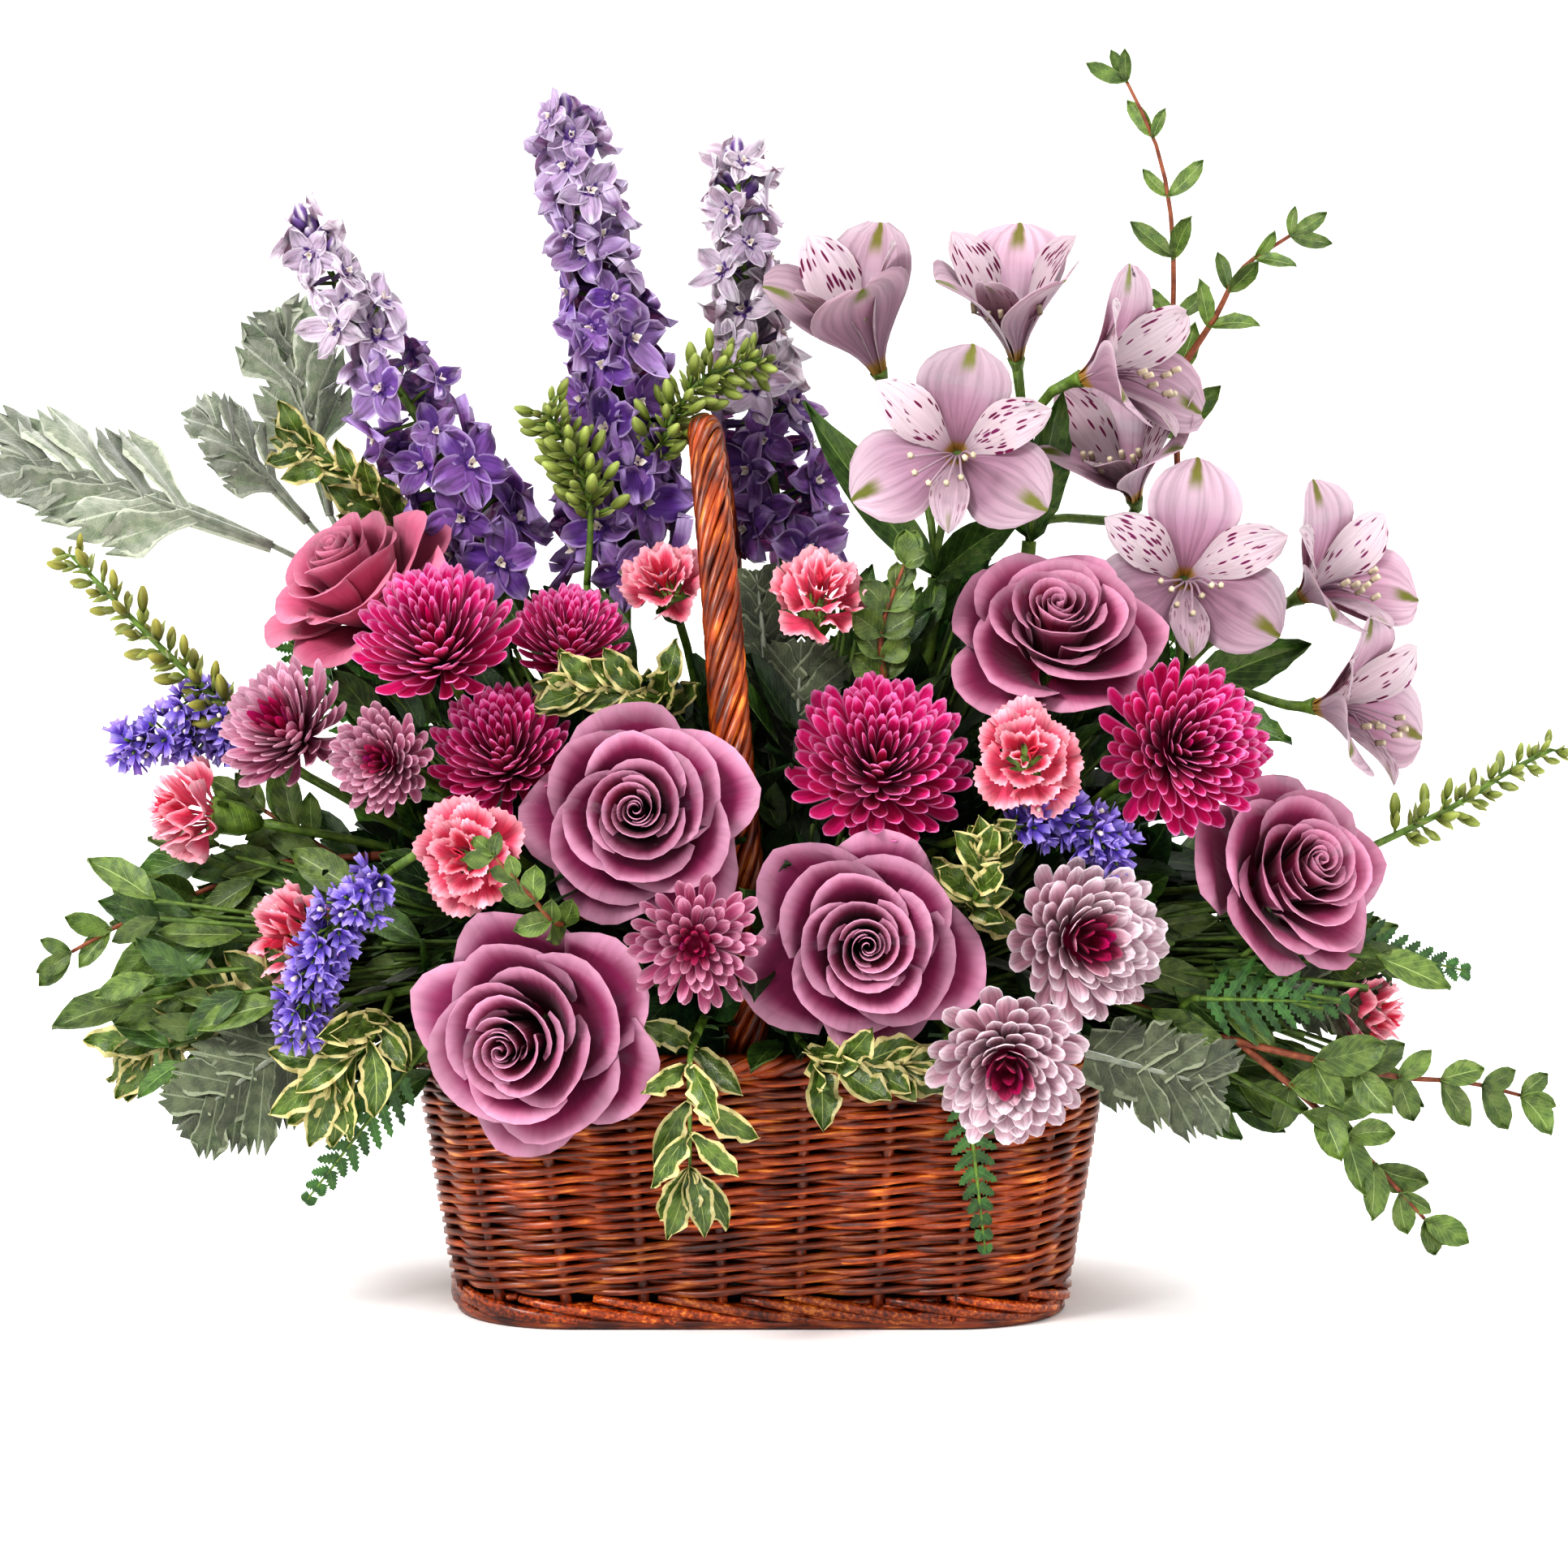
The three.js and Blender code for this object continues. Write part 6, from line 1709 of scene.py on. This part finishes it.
@dataclass(frozen=True)
class CutLeaf:
    """One frond or lobed leaf: where its stalk starts, its root, tip, width and face."""

    start: Point
    root: Point
    tip: Point
    width: float
    face: Point


@dataclass
class CutLeaves:
    """Leather fern fronds and felted dusty miller leaves."""

    looks: Palette
    nodes: dict[str, tuple[Cut, tuple[CutLeaf, ...]]] = field(default_factory=lambda: {
        "fern_low_left": (Cut.FERN, (
            CutLeaf((-112, -84, 106), (-122, -88, 96), (-158, -86, 48), 30, (0.2, -1, 0.2)),)),
        "fern_right": (Cut.FERN, (
            CutLeaf((168, -58, 130), (184, -52, 139), (251, -40, 124), 38, (0.1, -1, 0.4)),
            CutLeaf((146, -78, 116), (152, -84, 120), (204, -78, 118), 40, (0.2, -1, 0.3)))),
        "fern_front": (Cut.FERN, (
            CutLeaf((66, -92, 105), (71, -104, 90), (78, -98, 32), 24, (0, -1, 0)),)),
        "fern_back_left": (Cut.FERN, (
            CutLeaf((-92, 62, 142), (-108, 72, 160), (-176, 78, 232), 56, (-0.2, 1, 0.3)),
            CutLeaf((-80, 70, 130), (-100, 88, 132), (-178, 96, 128), 56, (-0.1, 1, 0.5)))),
        "fern_back_right": (Cut.FERN, (
            CutLeaf((86, 62, 142), (100, 74, 162), (160, 80, 240), 56, (0.2, 1, 0.3)),
            CutLeaf((80, 70, 130), (102, 88, 132), (182, 94, 130), 56, (0.1, 1, 0.5)))),
        "dusty_miller_high_left": (Cut.DUSTY, (
            CutLeaf((-142, 36, 246), (-176, 24, 268), (-266, 4, 308), 50, (0.2, -0.75, 0.6)),
            CutLeaf((-142, 36, 246), (-164, 34, 276), (-199, 24, 319), 30, (0.6, -0.7, 0.3)),
            CutLeaf((-142, 36, 246), (-156, 40, 278), (-172, 28, 350), 34, (0.1, -1, 0.2)))),
        "dusty_miller_low_left": (Cut.DUSTY, (
            CutLeaf((-130, -62, 122), (-150, -76, 112), (-199, -84, 78), 52, (0.1, -1, 0.35)),)),
        "dusty_miller_right": (Cut.DUSTY, (
            CutLeaf((104, -76, 117), (112, -98, 103), (158, -100, 92), 44, (0.1, -1, 0.3)),
            CutLeaf((104, -76, 117), (172, -60, 122), (216, -56, 117), 34, (0.2, -1, 0.5)))),
        "dusty_miller_centre": (Cut.DUSTY, (
            CutLeaf((8, -24, 186), (12, -38, 194), (14, -40, 236), 42, (0, -1, 0.2)),
            CutLeaf((8, -24, 186), (2, -14, 224), (-1, -12, 262), 26, (0.2, -1, 0.2)))),
    })

    def frond(self, piece: Piece, item: CutLeaf) -> None:
        """Adds a fern frond: toothed leaflets set close along an arched rib.

        Args:
            piece: Piece to add to.
            item: The frond.
        """
        root, tip, face = Vector(item.root), Vector(item.tip), Vector(item.face).normalized()
        length = (tip - root).length
        seat = Seat.leaf(root, tip - root, face)
        rib = Route([seat.at(0, length * t, -0.08 * length * t * t) for t in (0, 0.25, 0.5, 0.75, 1)])
        piece.rod(rib, lambda t: 0.9 - 0.5 * t, 5, 10, 1)
        pairs = max(9, round(length / 6))
        wide = length / pairs * 0.9
        for nth in range(2 * pairs):
            share, hand = (nth // 2 + 0.6) / pairs, -1 if nth % 2 else 1
            taper = (1.12 - 0.92 * share) * (0.6 + 0.4 * smooth(0, 0.15, share))
            way = seat.side * hand + seat.up * (0.6 + 0.5 * share) + seat.out * piece.draw(-0.2, 0.15)
            reach, bow = item.width / 2 * taper * piece.draw(0.9, 1.1), piece.draw(0.02, 0.2)
            own = Seat.leaf(rib.at(share), way, seat.out)

            def form(u: float, v: float) -> Vector:
                """Places a point of the leaflet."""
                tooth = 0.5 + 0.5 * abs(sin(5.5 * pi * v))
                half = wide / 2 * (1 - v) ** 0.5 * tooth + 0.15
                return own.at(u * half, v * reach + 0.25 * abs(u) * half, 0.12 * half * abs(u) - bow * reach * v * v)

            piece.sheet(2, 11, form, 0.35, 0, (piece.draw(), 1, 0))

    def felted(self, piece: Piece, item: CutLeaf) -> None:
        """Adds a dusty miller leaf: round lobes that reach forward from a broad pale rib.

        Args:
            piece: Piece to add to.
            item: The leaf.
        """
        root, tip, face = Vector(item.root), Vector(item.tip), Vector(item.face).normalized()
        length = (tip - root).length
        seat = Seat.leaf(root, tip - root, face)
        # leaves in the darker felt, which is painted shade, get their own lobes
        painted_shade_felt = piece.materials[0] is self.looks.painted_shade_felt
        lobes = max(4, round(length / (13 if painted_shade_felt else 19)))
        blade, core = item.width / 2, 0.42 if painted_shade_felt else 0.09
        first, spread = (0.12, 0.84) if painted_shade_felt else (0.3, 0.66)

        def rib(v: float) -> Vector:
            """Gives the point of the rib at a share of its length."""
            return seat.at(0, v * length, -0.1 * length * v * v)

        def strip(u: float, v: float) -> Vector:
            """Places a point of the blade along the rib."""
            across = seat.side * u * blade * (core + 0.12 * sin(pi * v)) * (1 - 0.5 * v**3)
            return rib(v) + across - seat.out * abs(u) * 0.4

        piece.sheet(4, 12, strip, 0.8, 0, (0.5, 1, 0))
        for nth in range(lobes * 2 + 1):
            share = first + spread * (nth // 2) / lobes + (0.03 if nth % 2 else 0)
            hand = (1 if nth % 2 else -1) if nth < lobes * 2 else 0
            taper = 0.5 + 0.5 * sin(pi * share**0.85)
            way = seat.side * hand + seat.up * ((0.55 if painted_shade_felt else 0.95) + 0.6 * share if hand else 1)
            reach = blade * taper * (1.2 if hand else 0.75) * piece.draw(0.85, 1.15) * (0.95 if painted_shade_felt else 1.25)
            own = Seat.leaf(rib(min(share, 0.9)), way, seat.out + seat.side * hand * 0.15)
            wide, bow, phase = length / lobes * 0.9, piece.draw(0, 0.22), piece.draw(*ANY_TURN)

            def form(u: float, v: float) -> Vector:
                """Places a point of the lobe."""
                half = wide / 2 * ((0.8 if painted_shade_felt else 0.36) + (0.4 if painted_shade_felt else 0.62) * smooth(0.2, 0.8, v))
                half *= (1 + 0.07 * sin(11 * v + phase)) * rounded(v, 0.8, 0.25, 0.1)
                tip = reach * v * (1 - 0.2 * abs(sin(1.5 * pi * u)) * v**3)
                curl = 0.14 * wide * sin(2.8 * u + phase) * v - bow * reach * v * v
                return own.at(u * half, tip, curl + 0.1 * half * abs(u))

            piece.sheet(6, 8, form, 0.7, 0, (piece.draw(), 1, 0))
        stalk = Route([seat.at(0, v * length * 0.96, -0.1 * length * v * v + 0.3) for v in (0, 0.3, 0.6, 1)])
        piece.rod(stalk, lambda t: 1.5 - 1.1 * t, 6, 10, 1)

    def build(self) -> None:
        """Builds every node."""
        for order, (name, (cut, items)) in enumerate(self.nodes.items()):
            if cut is Cut.FERN:
                piece = Piece(f"{name}_fronds", 150 + order, self.looks.fern, self.looks.stem)
            else:
                # all but the high dusty miller take the darker felt, painted shade
                pale = self.looks.felt if "high" in name else self.looks.painted_shade_felt
                piece = Piece(f"{name}_leaves", 150 + order, pale, self.looks.felt)
            start = Vector(items[0].start)
            stem_to_foam(piece, start, Vector(items[0].root) - start, 1.6, order)
            for item in items:
                arch = Vector(item.start).lerp(Vector(item.root), 0.5) + UP * 1.5
                piece.rod([item.start, arch, item.root], lambda t: 1.5 - 0.4 * t, 5, 5, 1)
                if cut is Cut.FERN:
                    self.frond(piece, item)
                else:
                    self.felted(piece, item)
            piece.finish(cut.value, name)


@dataclass
class Undergrowth:
    """Short salal and fern tips packed between the stems, which hide the foam on every side."""

    looks: Palette
    middle: Point = (2, -4, 124)
    half: Point = (168, 92, 98)
    count: int = 640
    inner: int = 260
    skirt: int = 150
    flanks: tuple[tuple[Point, Point, int], ...] = (
        ((-160, -46, 126), (66, 40, 46), 135), ((166, -48, 112), (58, 40, 40), 120),
        ((-92, 2, 214), (56, 24, 28), 75), ((56, 12, 222), (42, 20, 26), 60), ((120, 8, 204), (36, 22, 20), 25))
    # leaves end at the basket's back, start behind the blooms' faces, and keep clear by a share of a bloom's radius
    back: float = 98.0
    front: float = -84.0
    clearance: float = 0.95

    def __post_init__(self) -> None:
        """Lists the blooms that the leaves keep clear of."""
        self.blooms = [head for head, _ in Roses(self.looks).heads.values()]
        self.blooms += [head for node in Mums(self.looks).nodes for head in node.heads]
        self.blooms += [head for heads in Carnations(self.looks).nodes.values() for head in heads]

    def blade(self, piece: Piece, spot: Vector, way: Vector, face: Vector, size: tuple[float, float], kind: int,
              **look: float | tuple[int, int]) -> None:
        """Adds one leaf over the basket's back at most, and neither in a bloom nor in front of one.

        Args:
            piece: Piece to add to.
            spot: Where it grows from.
            way: The way it grows.
            face: The side its face looks.
            size: Its length and width.
            kind: Number of its material.
            look: What else the leaf is told, by name.
        """
        way = way.normalized()
        way.y = min(way.y, (self.back - spot.y) / size[0])
        for head in self.blooms:
            for share in (0, 0.5, 1):
                gap = spot + way * size[0] * share - Vector(head.centre)
                gap.y = max(0, gap.y)
                if gap.length < self.clearance * head.radius:
                    return
        leaf(piece, spot, way, face, *size, kind, **look)

    def add_dome(self, piece: Piece) -> None:
        """Adds pointed leaves on stalks over a low dome.

        Args:
            piece: Piece to add to.
        """
        for nth in range(self.count):
            out = dome_way(nth, (nth + 0.5) / self.count * 1.12 - 0.12)
            scale = piece.draw(0.72, 0.94)
            spot = Vector(self.middle) + Vector([a * b * scale for a, b in zip(out, self.half)])
            way = out + UP * piece.draw(-0.5, 0.7) + Vector((piece.draw(-0.7, 0.7), piece.draw(-0.7, 0.7), 0))
            length = piece.draw(22, 36)
            kind = 0 if piece.draw() < 0.72 else 1
            size = (length, length * piece.draw(0.36, 0.5))
            self.blade(piece, spot, way.normalized(), out + UP * 0.3, size, kind, droop=0.2, grid=(4, 5), wave=0.4)
            foot = spot * 0.45 + Vector((spot.x * 0.25, spot.y * 0.25, 60))
            piece.rod([foot, spot], 0.9, 4, 1, 2, (0.1, 1, 0))

    def add_inner(self, piece: Piece) -> None:
        """Adds broad dark leaves close over the foam; their dark green is partly painted shade.

        Args:
            piece: Piece to add to.
        """
        for nth in range(self.inner):
            out = dome_way(nth, (nth + 0.5) / self.inner, 0.98)
            spot = Vector(self.middle) + Vector([a * b * piece.draw(0.5, 0.68) for a, b in zip(out, self.half)])
            spot.z = max(spot.z, 126)
            way = Vector((piece.draw(-1, 1), piece.draw(-1, 1), piece.draw(-0.1, 0.8))) + out
            size = (piece.draw(34, 46), piece.draw(17, 22))
            self.blade(piece, spot, way, out + UP * 0.2, size, 0, droop=0.2, grid=(2, 4))

    def add_skirt(self, piece: Piece) -> None:
        """Adds leaves that lean out over the rim, fewest at the front, where the rim shows.

        Args:
            piece: Piece to add to.
        """
        basket = Basket(self.looks)
        for nth in range(self.skirt):
            share = (nth + piece.draw(-0.4, 0.4)) / self.skirt
            spot, out = basket.around(share, basket.height, piece.draw(4, 15))
            at_front = out.y < -0.7
            if at_front and piece.draw() < 0.45:
                continue
            spot.z += piece.draw(0, 9)
            way = out + UP * piece.draw(-0.1, 0.9) + Vector((-out.y, out.x, 0)) * piece.draw(-0.7, 0.7)
            length = piece.draw(24, 38) * (0.7 if at_front else 1)
            kind = 1 if piece.draw() < 0.4 else 0
            size = (length, length * piece.draw(0.34, 0.5))
            self.blade(piece, spot, way, UP + out * 0.4, size, kind, droop=0.3, grid=(4, 6), wave=0.5)
            piece.rod([spot - UP * 16 - out * 4, spot], 0.8, 4, 1, 2, (0.1, 1, 0))

    def add_flanks(self, piece: Piece) -> None:
        """Adds sprigs of pointed leaves that fill the sides and the gaps behind the blooms.

        Args:
            piece: Piece to add to.
        """
        for middle, half, count in self.flanks:
            for _ in range(count):
                spot = Vector([m + h * piece.draw(-1, 1) * piece.draw(0.5, 1) for m, h in zip(middle, half)])
                spot.y = max(spot.y, self.front)
                rise = max(0, spot.z - 150) / 45
                way = Vector((copysign(1, spot.x), piece.draw(-0.5, 0.3), piece.draw(-0.7, 0.7) + rise))
                foot = Vector((spot.x * 0.45, spot.y * 0.5, 116))
                piece.rod([foot, foot.lerp(spot, 0.55) + UP * 6, spot], 0.85, 4, 3, 2, (0.2, 1, 0))
                length = piece.draw(20, 31)
                # high up, behind the blooms, the deep green leaves are partly painted shade
                kind = piece.rng.choice((1, 1, 3, 3) if spot.z < 175 else (0, 0, 1))
                size = (length, length * piece.draw(0.36, 0.5))
                face = Vector((0, -1, piece.draw()))
                self.blade(piece, spot, way, face, size, kind, belly=0.48, droop=0.2, grid=(4, 6), wave=0.6)

    def build(self) -> None:
        """Builds the leaves, dark inside and brighter at the rim; the dark inside is partly painted shade."""
        looks = (self.looks.deep_green_and_shade_leaf, self.looks.leaf, self.looks.stem, self.looks.eucalyptus)
        piece = Piece("undergrowth_leaves", 170, *looks)
        for add_leaves in (self.add_dome, self.add_inner, self.add_skirt, self.add_flanks):
            add_leaves(piece)
        piece.finish("fern")


# ---- studio


@dataclass
class Studio:
    """The plain pale floor, the soft boxes, and the camera where the photograph was taken."""

    looks: Palette
    target: Point = (8.12, 0, 184.5)
    distance: float = 2400.0
    elevation: float = 7.0
    width_at_target: float = 560.28
    # what the soft boxes look at, in metres
    lit_point: Point = (0, 0, 0.18)

    def build_floor(self) -> None:
        """Lays the floor as a wide disc."""
        mesh = bmesh.new()
        bmesh.ops.create_circle(mesh, cap_ends=True, segments=64, radius=9.0)
        data = bpy.data.meshes.new("studio_floor")
        mesh.to_mesh(data)
        mesh.free()
        data.materials.append(self.looks.floor)
        floor = put("studio_floor", data)

    def build_light(self, name: str, place: Point, size: float, watts: float) -> None:
        """Hangs a soft box that looks at the arrangement.

        Args:
            name: Name of the light.
            place: Where it hangs, in metres.
            size: Width of its disc in metres.
            watts: Its power.
        """
        data = bpy.data.lights.new(name, "AREA")
        data.shape, data.size, data.energy = "DISK", size, watts
        made = put(name, data)
        made.location = Vector(place)
        made.rotation_euler = (Vector(self.lit_point) - made.location).to_track_quat("-Z", "Y").to_euler()

    def build_camera(self) -> None:
        """Sets the camera: 36 mm sensor, level of the photograph."""
        data = bpy.data.cameras.new("camera")
        data.sensor_width = 36.0
        data.lens = 36 * self.distance / self.width_at_target
        data.clip_end = 50.0
        made = put("camera", data)
        tilt = radians(self.elevation)
        target = Vector(self.target) * MM
        made.location = target + Vector((0, -cos(tilt), sin(tilt))) * self.distance * MM
        made.rotation_euler = (target - made.location).to_track_quat("-Z", "Y").to_euler()
        bpy.context.scene.camera = made

    def build(self) -> None:
        """Builds the studio."""
        self.build_floor()
        self.build_light("key_box", (-1.5, -1.9, 1.9), 0.9, 52)
        self.build_light("fill_box", (1.9, -1.5, 1), 1.4, 8)
        self.build_light("top_box", (0.2, 0.6, 2.4), 1.2, 14)
        self.build_camera()
        world = bpy.data.worlds.new("studio_world")
        world.use_nodes = True
        world.node_tree.nodes["Background"].inputs[0].default_value = (1, 1, 1, 1)
        world.node_tree.nodes["Background"].inputs[1].default_value = 1.0
        bpy.context.scene.world = world
        bpy.context.scene.view_settings.view_transform = "Standard"
        bpy.context.scene.view_settings.look = "High Contrast"


def main() -> None:
    """Builds the arrangement from the basket outwards."""
    logging.basicConfig(level=logging.INFO, format="%(name)s %(message)s")
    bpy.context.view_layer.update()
    palette = Palette()
    Studio(palette).build()
    crew = (Basket, Filling, Roses, Mums, Carnations, Alstroemerias, Larkspurs, Statices, BudStalks, LeafyBranches,
            CutLeaves, Undergrowth)
    for maker in crew:
        LOG.info("building %s", maker.__name__)
        maker(palette).build()


if __name__ == "__main__":
    main()
